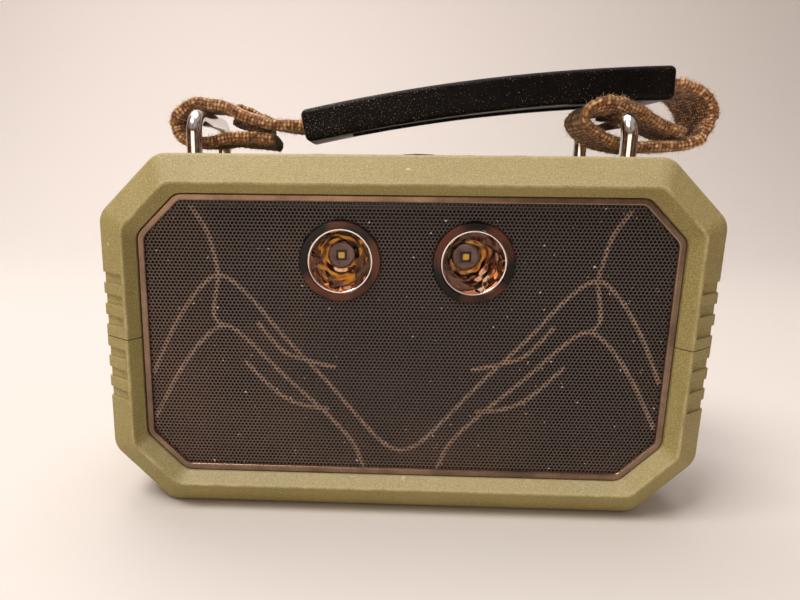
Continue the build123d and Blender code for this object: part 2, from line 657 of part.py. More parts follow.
def port_well():
    """A tray behind the flap, with the cut-outs for the sockets and side walls that hold the flap's pin."""
    half_x = WELL_HALF_X
    half_z = WELL_HALF_Z
    back = WELL_FLOOR - PORT_WALL
    tray = block(PORT_X - half_x, PORT_X + half_x, back, COVER_BACK, MID - half_z, MID + half_z)
    tray -= block(
        PORT_X - half_x + PORT_RIM, PORT_X + half_x - PORT_RIM, WELL_FLOOR, COVER_BACK + 1,
        MID - half_z + PORT_RIM, MID + half_z - PORT_RIM,
    )
    tray -= block(
        PORT_X - half_x + WELL_SIDE, PORT_X + half_x - WELL_SIDE, FLAP_FRONT - SLIP, COVER_BACK + 1,
        MID - half_z - 1, MID + half_z - WELL_SIDE,
    )
    # the knuckle turns in a trough at the foot of the well
    room = FLAP_KNUCKLE + CLEAR
    tray -= block(
        PORT_X - half_x + WELL_SIDE, PORT_X + half_x - WELL_SIDE, PIN_Y - room, COVER_BACK + 1,
        MID - half_z - 1, PIN_Z + room,
    )
    tray -= along_x(PIN_Y, PIN_Z, FLAP_PIN + RUNNING, 2 * half_x - WELL_SIDE / 2)
    for z, half_w, half_h in SOCKETS:
        tray -= block(PORT_X - half_w, PORT_X + half_w, back - 1, WELL_FLOOR + 1, z - half_h, z + half_h)
    return tray


def port_flap():
    """A moulded door whose foot carries the knuckle round the pin."""
    half_x = WELL_HALF_X - WELL_SIDE - CLEAR
    top = MID + WELL_HALF_Z - WELL_SIDE - CLEAR
    door = block(PORT_X - half_x, PORT_X + half_x, FLAP_FRONT, COVER_BACK - SLIP, PIN_Z, top)
    door += along_x(PIN_Y, PIN_Z, FLAP_KNUCKLE, 2 * half_x)
    return door - along_x(PIN_Y, PIN_Z, FLAP_PIN + RUNNING, 2 * half_x + 2)


save("port_well", port_well())
save("port_flap", port_flap())
save("flap_pin", along_x(PIN_Y, PIN_Z, FLAP_PIN, 2 * WELL_HALF_X - WELL_SIDE))


def socket_box(size, border, y0, y1):
    """A socket's box, moved in from its cut-out by a border."""
    z, half_w, half_h = size
    half_w -= border
    half_h -= border
    return block(PORT_X - half_w, PORT_X + half_w, y0, y1, z - half_h, z + half_h)


def port_board():
    """The board behind the well, with its sockets standing through the well's floor."""
    face = WELL_FLOOR - PORT_WALL - 3.0
    half_x = PORT_LENGTH / 2 - 2
    half_z = PORT_HEIGHT / 2 - 1
    board = block(PORT_X - half_x, PORT_X + half_x, face - BOARD_THICK, face, MID - half_z, MID + half_z)
    for size in SOCKETS:
        board += socket_box(size, SLIP, face, WELL_FLOOR)
        board -= socket_box(size, SOCKET_WALL, face + 1, WELL_FLOOR + 1)
    return board


save("port_board", port_board())

# ================================================================ inside: boards and battery


def main_board():
    left, right, bottom, top = MAIN_BOARD
    face = MAIN_BOARD_Y
    board = block(left, right, face, face + BOARD_THICK, MID + bottom, MID + top)
    for x, rise, w, h, thick in CHIPS:
        z = MID + rise
        board += block(x - w / 2, x + w / 2, face - thick, face, z - h / 2, z + h / 2)
    for x in CAPACITORS:
        board += disc(x, MID + CAPACITOR_RISE, CAPACITOR_RADIUS, face - CAPACITOR_RADIUS, face)
    return board


save("main_board", main_board())

CELL_Z = FLOOR + 2.0 + CELL_RADIUS
CELL_Y = CELL_RADIUS + CELL_GAP / 2


def cell(y):
    can = Pos(0, y, CELL_Z) * Rot(0, 90, 0) * Cylinder(CELL_RADIUS, CELL_LENGTH)
    return can + Pos(CELL_LENGTH / 2 + 0.5, y, CELL_Z) * Rot(0, 90, 0) * Cylinder(CELL_TIP_RADIUS, 1.0)


def battery_tray():
    long = CELL_LENGTH / 2 + 3
    wide = 2 * CELL_RADIUS + 2
    tray = block(-long, long, -wide, wide, FLOOR + SLIP, CELL_Z)
    for y in (-CELL_Y, CELL_Y):
        tray -= Pos(0, y, CELL_Z) * Rot(0, 90, 0) * Cylinder(CELL_RADIUS + SLIP, CELL_LENGTH + 2.6)
    return tray


save("battery_cells", cell(-CELL_Y), cell(CELL_Y))
save("battery_tray", battery_tray())

# ================================================================ keys


def key_panel():
    panel = block(
        KEY_X - PANEL_LENGTH / 2, KEY_X + PANEL_LENGTH / 2, -PANEL_WIDTH / 2, PANEL_WIDTH / 2,
        TOP - PANEL_THICK + PANEL_STAND, TOP + PANEL_STAND,
    )
    panel = fillet(panel.edges().filter_by(Axis.Z), 4.0)
    panel = fillet(panel.edges().group_by(Axis.Z)[-1], 0.3)
    for x in key_places():
        panel -= post(x, 0, KEY_RADIUS + CLEAR, TOP - 5, TOP + 5)
    return panel


def key(x, stand):
    """A moulded key: its cap, and a flange that stops under the casing's top wall."""
    cap = post(x, 0, KEY_RADIUS, KEY_FOOT, TOP + stand)
    cap = fillet(cap.edges().group_by(Axis.Z)[-1], 0.4)
    return cap + post(x, 0, KEY_FLANGE, KEY_FOOT, CEILING - CLEAR)


def key_board():
    top = KEY_BOARD_TOP
    board = block(
        KEY_X - PANEL_LENGTH / 2, KEY_X + PANEL_LENGTH / 2, -PANEL_WIDTH / 2 + 3, PANEL_WIDTH / 2 - 3,
        top - BOARD_THICK, top,
    )
    half = SWITCH_SIDE / 2
    for x in key_places():
        board += block(x - half, x + half, -half, half, top, SWITCH_TOP)
    return board


save("key_panel", key_panel())
for key_name, key_x in zip(KEY_NAMES, key_places()):
    save(key_name, key(key_x, MIDDLE_KEY_STAND if key_name == "key_play" else KEY_STAND))
save("key_board", key_board())

# ================================================================ bails


def bail(x):
    """A U-bolt bent from bright wire, its legs through the casing's top wall."""
    foot = CEILING - BAIL_TAIL
    half = BAIL_SPAN / 2
    corners = [(x, -half, foot), (x, -half, BAIL_Z), (x, half, BAIL_Z), (x, half, foot)]
    route = FilletPolyline(*corners, radius=BAIL_BEND)
    section = Plane((x, -half, foot), z_dir=(0, 0, 1)) * Circle(WIRE / 2)
    return sweep(section, path=route)


def bail_ring(x, y, radius, z0, z1, sides=0):
    plane = Plane((x, y, z0))
    ring = extrude(plane * (RegularPolygon(radius, sides) if sides else Circle(radius)), amount=z1 - z0)
    return ring - post(x, y, WIRE / 2 + RUNNING, z0 - 1, z1 + 1)


legs = [(side * BAIL_X, y * BAIL_SPAN / 2) for side in SIDES.values() for y in (-1, 1)]
washer_top = CEILING - SLIP / 2
nut_top = washer_top - WASHER_THICK - SLIP / 2
for side_name, side in SIDES.items():
    save(f"bail_{side_name}", bail(side * BAIL_X))
washer_foot = washer_top - WASHER_THICK
nut_foot = nut_top - NUT_THICK
save("bail_washers", *[bail_ring(x, y, WASHER_RADIUS, washer_foot, washer_top) for x, y in legs])
save("bail_nuts", *[bail_ring(x, y, NUT_RADIUS, nut_foot, nut_top, sides=6) for x, y in legs])

# ================================================================ grip and webbing
UPRIGHT = Plane((0, 0, TOP), x_dir=(1, 0, 0), z_dir=FACING_FRONT)


def arc_strip(arc, thick, width):
    """A flat bar that follows an arc, centred on the handle's middle plane."""
    return extrude(UPRIGHT * trace(arc, line_width=thick), amount=width / 2, both=True)


def grip():
    arc = ThreePointArc(*GRIP_ARC)
    bar = arc_strip(arc, GRIP_THICK, GRIP_WIDTH)
    bar = fillet(bar.edges(), GRIP_ROUND)
    share = GRIP_PAD / arc.length
    middle = arc.trim(share, 1 - share)
    hollow = arc_strip(middle, GRIP_THICK, GRIP_RECESS_WIDTH)
    bar -= Pos(0, 0, GRIP_RECESS - GRIP_THICK) * hollow
    return bar - arc_strip(arc, WEBBING + 2 * SLIP, WEBBING_WIDTH + 2 * SLIP)


def ribbon(points, thick, width):
    """Webbing along a run of points, with mitred turns."""
    edges = {1: [], -1: []}
    for i, (x, z) in enumerate(points):
        before = points[max(i - 1, 0)]
        after = points[min(i + 1, len(points) - 1)]
        into = Vector(x - before[0], z - before[1])
        out = Vector(after[0] - x, after[1] - z)
        into = (into if into.length else out).normalized()
        out = (out if out.length else into).normalized()
        across = Vector(-(into.Y + out.Y), into.X + out.X).normalized()
        reach = thick / 2 / across.dot(Vector(-into.Y, into.X))
        for sign, edge in edges.items():
            edge.append((x + sign * reach * across.X, z + sign * reach * across.Y))
    outline = make_face(Polyline(*edges[1], *reversed(edges[-1]), close=True))
    return extrude(UPRIGHT * outline, amount=width / 2, both=True)


def webbing_core():
    """The webbing inside the grip, end to end."""
    return arc_strip(ThreePointArc(*GRIP_ARC), WEBBING, WEBBING_WIDTH)


save("grip", grip())
save("webbing_left", ribbon(LEFT_LOOP, WEBBING, WEBBING_WIDTH) + webbing_core())
save("webbing_right", ribbon(RIGHT_LOOP, WEBBING, WEBBING_WIDTH))
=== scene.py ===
# Rugged portable speaker: the looks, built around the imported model.
# Metres, +Z up, -Y out of the grille. Each section is one piece, or one group of like pieces, in the order
# in which the speaker goes together: stage and camera, casing, front, lamps, drivers, rear, top, handle.

import math
import random

import bmesh
import bpy
import numpy as np
from mathutils import Matrix, Vector


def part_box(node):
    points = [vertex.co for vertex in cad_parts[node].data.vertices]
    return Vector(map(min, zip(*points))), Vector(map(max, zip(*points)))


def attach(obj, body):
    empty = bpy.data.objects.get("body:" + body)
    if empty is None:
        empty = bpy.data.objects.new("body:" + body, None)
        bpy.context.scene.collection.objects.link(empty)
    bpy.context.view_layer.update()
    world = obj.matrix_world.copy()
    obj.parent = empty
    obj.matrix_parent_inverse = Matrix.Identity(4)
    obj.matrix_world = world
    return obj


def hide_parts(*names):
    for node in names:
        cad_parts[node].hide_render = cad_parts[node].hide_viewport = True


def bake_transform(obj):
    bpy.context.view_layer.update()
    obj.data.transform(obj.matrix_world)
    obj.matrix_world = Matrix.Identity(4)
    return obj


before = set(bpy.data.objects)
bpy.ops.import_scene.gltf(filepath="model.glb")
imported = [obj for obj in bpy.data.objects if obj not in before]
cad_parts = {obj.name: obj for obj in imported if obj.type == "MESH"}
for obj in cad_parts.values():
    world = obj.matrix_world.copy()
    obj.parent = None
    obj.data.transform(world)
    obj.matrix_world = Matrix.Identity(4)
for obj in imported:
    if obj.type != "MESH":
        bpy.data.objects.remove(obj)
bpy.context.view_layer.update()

# ------------------------------------------------------------------ camera
# A phone camera held low and close, just in front of the grille: its eye is a little under the casing's top,
# a thumb's width left of the middle, and it looks down a little more than ten degrees.
MM = 0.001
casing_low, casing_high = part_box("casing_lower")[0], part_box("casing_upper")[1]
MIDDLE = (casing_low.z + casing_high.z) / 2
EYE_LEFT = 14.0 * MM
EYE_AHEAD = 212.0 * MM             # in front of the casing's middle plane
EYE_ABOVE_MIDDLE = 51.3 * MM
PITCH = math.radians(-11.81)
YAW = math.radians(2.14)
ROLL = math.radians(0.57)
SENSOR = 36.0
LENS = 27.18
SHIFT = 0.0775                     # the object stands a little left of the frame's middle


def linked(name, data):
    """A new object in the scene, from its data."""
    made = bpy.data.objects.new(name, data)
    bpy.context.scene.collection.objects.link(made)
    return made


camera = linked("camera", bpy.data.cameras.new("camera"))
camera.data.sensor_width = SENSOR
camera.data.lens = LENS
camera.data.shift_x = SHIFT
camera.data.clip_start = 10 * MM
camera.data.clip_end = 20.0
camera.location = (-EYE_LEFT, -EYE_AHEAD, MIDDLE + EYE_ABOVE_MIDDLE)
level = Matrix.Rotation(math.radians(90) + PITCH, 3, "X")
aim = Matrix.Rotation(YAW, 3, "Z") @ level @ Matrix.Rotation(ROLL, 3, "Z")
camera.rotation_euler = aim.to_euler()
bpy.context.scene.camera = camera

# ------------------------------------------------------------------ floor and light
# A pale painted board with a curved back. A large soft lamp lights it from above on the left, a low one fills
# the front, and one overhead washes the back. The room beyond is seen only as warm, patchy reflections.
FLOOR_WIDTH = 6.0
FLOOR_FRONT = 3.0
FLOOR_BACK = 1.1
FLOOR_BEND = 0.5
WALL_HEIGHT = 1.6


def srgb(code):
    """An sRGB hex colour as linear RGBA."""
    parts = [int(code[i:i + 2], 16) / 255 for i in (1, 3, 5)]
    return tuple(c / 12.92 if c <= 0.04045 else ((c + 0.055) / 1.055) ** 2.4 for c in parts) + (1.0,)


def material(name, colour, roughness=0.5, metallic=0.0, **shader):
    """A Principled material, with constant values on the shader's own sockets."""
    made = bpy.data.materials.new(name)
    made.use_nodes = True
    surface = made.node_tree.nodes["Principled BSDF"]
    surface.inputs["Base Color"].default_value = srgb(colour)
    surface.inputs["Roughness"].default_value = roughness
    surface.inputs["Metallic"].default_value = metallic
    for key, value in shader.items():
        surface.inputs[key.replace("_", " ")].default_value = value
    return made, made.node_tree, surface


def floor_board():
    profile = [(-FLOOR_FRONT, 0.0), (FLOOR_BACK - FLOOR_BEND, 0.0)]
    for step in range(1, 17):
        turn = math.radians(90) * step / 16
        profile.append((FLOOR_BACK - FLOOR_BEND * (1 - math.sin(turn)), FLOOR_BEND * (1 - math.cos(turn))))
    profile.append((FLOOR_BACK, WALL_HEIGHT))
    mesh = bpy.data.meshes.new("floor")
    points = [(x, y, z) for y, z in profile for x in (-FLOOR_WIDTH / 2, FLOOR_WIDTH / 2)]
    faces = [(2 * i, 2 * i + 1, 2 * i + 3, 2 * i + 2) for i in range(len(profile) - 1)]
    mesh.from_pydata(points, [], faces)
    mesh.polygons.foreach_set("use_smooth", [True] * len(faces))
    return linked("floor", mesh)


floor = floor_board()
paint, tree, surface = material("matt emulsion on board", "#D6D2CF", roughness=0.75)
floor.data.materials.append(paint)


def soft_lamp(name, place, aim_at, size, watts, colour):
    light = bpy.data.lights.new(name, "AREA")
    light.shape = "RECTANGLE"
    light.size, light.size_y = size
    light.energy = watts
    light.color = srgb(colour)[:3]
    lamp = linked(name, light)
    lamp.location = place
    lamp.rotation_euler = (Vector(aim_at) - Vector(place)).to_track_quat("-Z", "Y").to_euler()
    return lamp


soft_lamp("window", (-0.55, -0.42, 1.30), (0, 0, 0.06), (0.62, 0.50), 15.0, "#FFF8F0")
soft_lamp("room", (-0.25, -1.0, 0.20), (0, 0, 0.04), (0.9, 0.36), 2.2, "#FFE6D2")
soft_lamp("ceiling", (-0.25, 0.45, 1.3), (-0.05, 0.75, 0.1), (1.5, 0.8), 12.0, "#FFF6F2")


def add(tree, kind, out=0, to=None, stops=(), **words):
    """Adds a node and gives its output. A word is an input, by name or as i and its number, or a setting."""
    whole = kind.startswith(("Geometry", "Function", "NodeGroup"))
    node = tree.nodes.new(kind if whole else "ShaderNode" + kind)
    for word, value in words.items():
        numbered = word[0] == "i" and word[1:].isdigit()
        key = int(word[1:]) if numbered else word.replace("_", " ")
        if not numbered and key not in node.inputs:
            setattr(node, word, value)
        elif isinstance(value, bpy.types.NodeSocket):
            tree.links.new(value, node.inputs[key])
        else:
            node.inputs[key].default_value = value
    for _ in stops[2:]:
        node.color_ramp.elements.new(0.5)
    for i, (position, shade) in enumerate(stops):       # a ramp's stops, each a hex colour or a grey
        element = node.color_ramp.elements[i]
        element.position = position
        element.color = srgb(shade) if isinstance(shade, str) else (shade, shade, shade, 1.0)
    if to:
        tree.links.new(node.outputs[out], to)
    return node.outputs if out is None else node.outputs[out]


world = bpy.data.worlds.new("room")
world.use_nodes = True
tree = world.node_tree
background = tree.nodes["Background"]
direction = add(tree, "TexCoord", out="Generated")
heading = add(tree, "SeparateXYZ", Vector=direction, out=None)
patchy = add(tree, "TexNoise", Vector=direction, Scale=3.4, Detail=2.0, Roughness=0.6)
height = add(
    tree, "Math", operation="ADD", i0=add(tree, "Math", operation="MULTIPLY", i0=patchy, i1=1.3),
    i1=add(tree, "Math", operation="MULTIPLY", i0=heading[2], i1=0.6),
)
furnished = add(
    tree, "ValToRGB", Fac=height,
    stops=[
        (0.46, "#060302"), (0.56, "#4A2013"), (0.66, "#0E0604"), (0.74, "#B4714A"), (0.82, "#3A1A10"),
        (0.92, "#C9A08C"), (1.0, "#F4E9E1"),
    ],
)
front_side = add(tree, "ValToRGB", Fac=heading[1], stops=[(0.30, 1.0), (0.70, 0.0)])
lit_side = add(
    tree, "ValToRGB",
    Fac=add(
        tree, "Math", operation="ADD", i0=add(tree, "Math", operation="MULTIPLY", i0=heading[0], i1=0.5),
        i1=0.5,
    ),
    stops=[(0.45, "#F2E9E2"), (0.80, "#40352E")],
)
seen = add(tree, "Mix", data_type="RGBA", i0=front_side, i6=lit_side, i7=furnished, out=2)
straight = add(tree, "LightPath", out="Is Camera Ray")
add(
    tree, "Mix", data_type="RGBA", i0=straight, i6=seen, i7=srgb("#F2E9E2"), out=2,
    to=background.inputs["Color"],
)
background.inputs["Strength"].default_value = 0.50
bpy.context.scene.world = world
bpy.context.scene.view_settings.view_transform = "Standard"

# ------------------------------------------------------------------ casing
# Two halves moulded in olive ABS with a fine spark-eroded texture, closed by four long screws from below.
# The eye sees a matt, grainy green-brown, rubbed pale along the ridges, which is also a painted highlight,
# and paler on the faces that look up.
FRONT = casing_low.y
RIDGE_HALF_WIDTH = 86.0 * MM
RIDGE_HALF_HEIGHT = 48.25 * MM
RIDGE_CUT = 13.5 * MM
RIDGE_RUB_AND_HIGHLIGHT = 0.9 * MM               # width of the rubbed line
GRAIN = 0.35 * MM                  # moulded texture, drawn at twice its real grit so that it shows
SCUFF = 14.0 * MM
SPECK = 2.6 * MM


def dress(made, *names):
    """Gives a material to carried-over CAD nodes."""
    for name in names:
        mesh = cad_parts[name].data
        mesh.materials.clear()
        mesh.materials.append(made)


def ridge_distance(tree, place):
    """Distance from the octagon of the ridges, in metres, from Object coordinates."""
    parts = add(tree, "SeparateXYZ", Vector=place, out=None)
    across = add(tree, "Math", operation="ABSOLUTE", i0=parts[0])
    up = add(
        tree, "Math", operation="ABSOLUTE",
        i0=add(tree, "Math", operation="SUBTRACT", i0=parts[2], i1=MIDDLE),
    )
    side = add(tree, "Math", operation="SUBTRACT", i0=across, i1=RIDGE_HALF_WIDTH)
    top = add(tree, "Math", operation="SUBTRACT", i0=up, i1=RIDGE_HALF_HEIGHT)
    corner = add(
        tree, "Math", operation="MULTIPLY",
        i0=add(
            tree, "Math", operation="SUBTRACT", i0=add(tree, "Math", operation="ADD", i0=across, i1=up),
            i1=RIDGE_HALF_WIDTH + RIDGE_HALF_HEIGHT - RIDGE_CUT,
        ),
        i1=math.sqrt(0.5),
    )
    flat = add(
        tree, "Math", operation="MAXIMUM", i0=add(tree, "Math", operation="MAXIMUM", i0=side, i1=top),
        i1=corner,
    )
    depth = add(
        tree, "Math", operation="SUBTRACT", i0=add(tree, "Math", operation="ABSOLUTE", i0=parts[1]),
        i1=abs(FRONT),
    )
    return add(
        tree, "Math", operation="SQRT",
        i0=add(
            tree, "Math", operation="ADD", i0=add(tree, "Math", operation="POWER", i0=flat, i1=2.0),
            i1=add(tree, "Math", operation="POWER", i0=depth, i1=2.0),
        ),
    )


olive, tree, surface = material("moulded ABS, olive", "#8E8450", roughness=0.6, Specular_IOR_Level=0.2)
place = add(tree, "TexCoord", out="Object")
tone = add(
    tree, "ValToRGB", Fac=add(tree, "TexNoise", Vector=place, Scale=1 / (60 * MM), Detail=3.0, Roughness=0.6),
    stops=[(0.35, "#8F834F"), (0.65, "#9B8F5B")],
)
patch = add(
    tree, "ValToRGB", Fac=add(tree, "TexNoise", Vector=place, Scale=1 / SCUFF, Detail=5.0, Roughness=0.7),
    stops=[(0.62, 0.0), (0.80, 0.35)],
)
tone = add(tree, "Mix", data_type="RGBA", i0=patch, i6=tone, i7=srgb("#A89E78"), out=2)
# Paler on the faces that look up: a pale colour mixed in by how far each face turns upward.
facing = add(tree, "SeparateXYZ", Vector=add(tree, "NewGeometry", out="Normal"), out=None)
pale_share = add(tree, "ValToRGB", Fac=facing[2], stops=[(0.30, 0.0), (0.75, 0.35)])
tone = add(tree, "Mix", data_type="RGBA", i0=pale_share, i6=tone, i7=srgb("#C9C0A6"), out=2)
grain = add(tree, "TexNoise", Vector=place, Scale=1 / GRAIN, Detail=2.0, Roughness=0.6)
speckle = add(tree, "ValToRGB", Fac=grain, stops=[(0.36, 0.30), (0.50, 0.0)])
tone = add(tree, "Mix", data_type="RGBA", i0=speckle, i6=tone, i7=srgb("#5E5430"), out=2)
spark = add(tree, "ValToRGB", Fac=grain, stops=[(0.52, 0.0), (0.66, 0.35)])
tone = add(tree, "Mix", data_type="RGBA", i0=spark, i6=tone, i7=srgb("#D6CC9E"), out=2)
# Rubbed paint and painted highlight: a thin pale line along the ridges, broken up by noise.
rub_and_highlight = add(
    tree, "ValToRGB", Fac=add(tree, "Math", operation="DIVIDE", i0=ridge_distance(tree, place), i1=RIDGE_RUB_AND_HIGHLIGHT),
    stops=[(0.3, 1.0), (1.0, 0.0)],
)
broken = add(
    tree, "ValToRGB", Fac=add(tree, "TexNoise", Vector=place, Scale=1 / (5 * MM), Detail=4.0, Roughness=0.7),
    stops=[(0.42, 0.10), (0.66, 0.45)],
)
tone = add(
    tree, "Mix", data_type="RGBA", i0=add(tree, "Math", operation="MULTIPLY", i0=rub_and_highlight, i1=broken), i6=tone,
    i7=srgb("#CCC298"), out=2,
)
dust = add(
    tree, "ValToRGB", Fac=add(tree, "TexNoise", Vector=place, Scale=1 / SPECK, Detail=2.0, Roughness=0.5),
    stops=[(0.74, 0.0), (0.77, 0.6)],
)
tone = add(tree, "Mix", data_type="RGBA", i0=dust, i6=tone, i7=srgb("#D8D0B8"), out=2)
tree.links.new(tone, surface.inputs["Base Color"])
add(
    tree, "ValToRGB", Fac=add(tree, "TexNoise", Vector=place, Scale=1 / SCUFF, Detail=3.0, Roughness=0.6),
    stops=[(0.3, 0.50), (0.7, 0.66)], to=surface.inputs["Roughness"],
)
add(tree, "Bump", Height=grain, Distance=0.05 * MM, Strength=0.6, to=surface.inputs["Normal"])
dress(olive, "casing_upper", "casing_lower")

# ------------------------------------------------------------------ seals and base pad
# Black moulded rubber: dull and faintly mottled, a dark line in each joint and a dark foot under the casing.
rubber, tree, surface = material("moulded rubber, black", "#17161A", roughness=0.8)
place = add(tree, "TexCoord", out="Object")
add(
    tree, "ValToRGB", Fac=add(tree, "TexNoise", Vector=place, Scale=1 / (6 * MM), Detail=5.0, Roughness=0.7),
    stops=[(0.4, "#141316"), (0.7, "#26242A")], to=surface.inputs["Base Color"],
)
add(
    tree, "Bump", Height=add(tree, "TexNoise", Vector=place, Scale=1 / (0.5 * MM), Detail=4.0, Roughness=0.6),
    Distance=0.05 * MM, Strength=0.5, to=surface.inputs["Normal"],
)
dress(
    rubber, "casing_seals", "front_gasket", "rear_gasket", "base_pad", "driver_surround_left",
    "driver_surround_right", "radiator_surround",
)

# ------------------------------------------------------------------ screws, nuts and washers
# Zinc-plated steel: a cool grey metal, duller in some places than in others.
zinc, tree, surface = material("zinc-plated steel", "#A9A9AC", roughness=0.35, metallic=1.0)
add(
    tree, "ValToRGB",
    Fac=add(
        tree, "TexNoise", Vector=add(tree, "TexCoord", out="Object"), Scale=1 / (2 * MM), Detail=4.0,
        Roughness=0.6,
    ),
    stops=[(0.3, 0.28), (0.7, 0.45)], to=surface.inputs["Roughness"],
)
dress(zinc, "casing_screws", "bail_washers", "bail_nuts", "flap_pin")

# ------------------------------------------------------------------ grille trim
# A ring of ABS under a dark bronze lacquer, snapped into the casing's window. The eye sees a warm brown band
# that turns pale where it faces the floor.
gloss, tree, surface = material("bronze lacquer on ABS", "#7C6654", roughness=0.26, metallic=0.75)
place = add(tree, "TexCoord", out="Object")
add(
    tree, "ValToRGB", Fac=add(tree, "TexNoise", Vector=place, Scale=1 / (9 * MM), Detail=5.0, Roughness=0.7),
    stops=[(0.35, 0.16), (0.75, 0.34)], to=surface.inputs["Roughness"],
)
add(
    tree, "ValToRGB", Fac=add(tree, "TexNoise", Vector=place, Scale=1 / (12 * MM), Detail=3.0, Roughness=0.6),
    stops=[(0.35, "#6C5746"), (0.65, "#8C7460")], to=surface.inputs["Base Color"],
)
add(
    tree, "Bump", Height=add(tree, "TexNoise", Vector=place, Scale=1 / (0.9 * MM), Detail=4.0, Roughness=0.6),
    Distance=0.02 * MM, Strength=0.3, to=surface.inputs["Normal"],
)
dress(gloss, "grille_trim")

# The lamp bezels are polished red-brown ABS, their colour painted in patches from near black to red-brown,
# a painted reflection of the room.
red_gloss, tree, surface = material(
    "polished ABS, red-brown", "#3A1A10", roughness=0.22, Specular_IOR_Level=0.25,
)
place = add(tree, "TexCoord", out="Object")
# Painted reflection: broad patches from near black to red-brown in the base colour.
add(
    tree, "ValToRGB", Fac=add(tree, "TexNoise", Vector=place, Scale=1 / (14 * MM), Detail=1.0, Roughness=0.6),
    stops=[(0.44, "#0B0605"), (0.60, "#57301F")], to=surface.inputs["Base Color"],
)
add(
    tree, "Bump", Height=add(tree, "TexNoise", Vector=place, Scale=1 / (0.9 * MM), Detail=4.0, Roughness=0.6),
    Distance=0.02 * MM, Strength=0.3, to=surface.inputs["Normal"],
)
dress(red_gloss, "lamp_bezel_left", "lamp_bezel_right")

# ------------------------------------------------------------------ grille sheet
# Steel sheet punched with staggered round holes, 1.2 mm apart in level rows, and powder painted near black.
# Each hole is a real one. A pale line graphic is printed over the paint.
HOLE_PITCH = 1.2 * MM
HOLE_RADIUS = 0.42 * MM
sheet_low, sheet_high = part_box("grille_sheet")
SHEET_HALF_WIDTH = (sheet_high.x - sheet_low.x) / 2
SHEET_HALF_HEIGHT = (sheet_high.z - sheet_low.z) / 2
SHEET_CUT = 11.4 * MM
bezel_low, bezel_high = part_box("lamp_bezel_left")
LAMP_X = abs(bezel_low.x + bezel_high.x) / 2
LAMP_Z = (bezel_low.z + bezel_high.z) / 2
LAMP_HOLE = (bezel_high.x - bezel_low.x) / 2 + 0.1 * MM


def hole_cell(pitch, radius, thick):
    """One six-sided cell of the sheet with its hole through it: front, back and the hole's wall."""
    corner = pitch / math.sqrt(3)
    rings = []
    for reach in (corner, radius):
        for y in (0.0, thick):
            rings.append([
                (reach * math.cos(math.radians(90 + 60 * i)), y, reach * math.sin(math.radians(90 + 60 * i)))
                for i in range(6)
            ])
    points = [p for ring in rings for p in ring]
    faces = []
    for i in range(6):
        j = (i + 1) % 6
        faces.append((i, j, 12 + j, 12 + i))                   # front, between the edge and the hole
        faces.append((6 + j, 6 + i, 18 + i, 18 + j))           # back
        faces.append((12 + i, 12 + j, 18 + j, 18 + i))         # the hole's wall
    mesh = bpy.data.meshes.new("hole_cell")
    mesh.from_pydata(points, [], faces)
    # The front corners, where three holes' webs meet, carry the weight of a painted glint.
    painted_glint = mesh.attributes.new("painted_glint", "FLOAT", "POINT")
    painted_glint.data.foreach_set("value", [1.0] * 6 + [0.0] * 18)
    return linked("hole_cell", mesh)


def octagon_reach(x, z, half_w, half_h, cut):
    """How far a place is outside an upright octagon, negative inside it."""
    side = np.abs(x) - half_w
    top = np.abs(z) - half_h
    corner = (np.abs(x) + np.abs(z) - (half_w + half_h - cut)) * math.sqrt(0.5)
    return np.maximum(np.maximum(side, top), corner)


def rows_tree(cell, finish):
    """Geometry Nodes: a cell on each point of the mesh it is given, realised, joined and painted."""
    group = bpy.data.node_groups.new("cells on points", "GeometryNodeTree")
    group.interface.new_socket("Geometry", in_out="INPUT", socket_type="NodeSocketGeometry")
    group.interface.new_socket("Join distance", in_out="INPUT", socket_type="NodeSocketFloat")
    group.interface.new_socket("Geometry", in_out="OUTPUT", socket_type="NodeSocketGeometry")
    enter = add(group, "NodeGroupInput", out=None)
    shape = add(group, "GeometryNodeObjectInfo", Object=cell, out="Geometry")
    spread = add(group, "GeometryNodeInstanceOnPoints", Points=enter["Geometry"], Instance=shape)
    solid = add(group, "GeometryNodeRealizeInstances", Geometry=spread)
    joined = add(group, "GeometryNodeMergeByDistance", Geometry=solid, Distance=enter["Join distance"])
    painted = add(group, "GeometryNodeSetMaterial", Geometry=joined, Material=finish)
    add(group, "NodeGroupOutput", Geometry=painted, out=None)
    return group


def set_input(modifier, name, value):
    for item in modifier.node_group.interface.items_tree:
        if item.item_type == "SOCKET" and item.in_out == "INPUT" and item.name == name:
            modifier[item.identifier] = value


def grown(name, seeds, group, turns=None, **inputs):
    """A plain mesh object: a Geometry Nodes tree run on seed points, then set down as its own mesh."""
    mesh = bpy.data.meshes.new(name + "_seeds")
    mesh.from_pydata(seeds, [], [])
    if turns:
        turn = mesh.attributes.new("turn", "FLOAT_VECTOR", "POINT")
        turn.data.foreach_set("vector", [angle for euler in turns for angle in euler])
    host = linked(name + "_seeds", mesh)
    modifier = host.modifiers.new("grow", "NODES")
    modifier.node_group = group
    for key, value in inputs.items():
        set_input(modifier, key.replace("_", " "), value)
    bpy.context.view_layer.update()
    result = bpy.data.meshes.new_from_object(host.evaluated_get(bpy.context.evaluated_depsgraph_get()))
    result.name = name
    bpy.data.objects.remove(host)
    result.polygons.foreach_set("use_smooth", [True] * len(result.polygons))
    return linked(name, result)


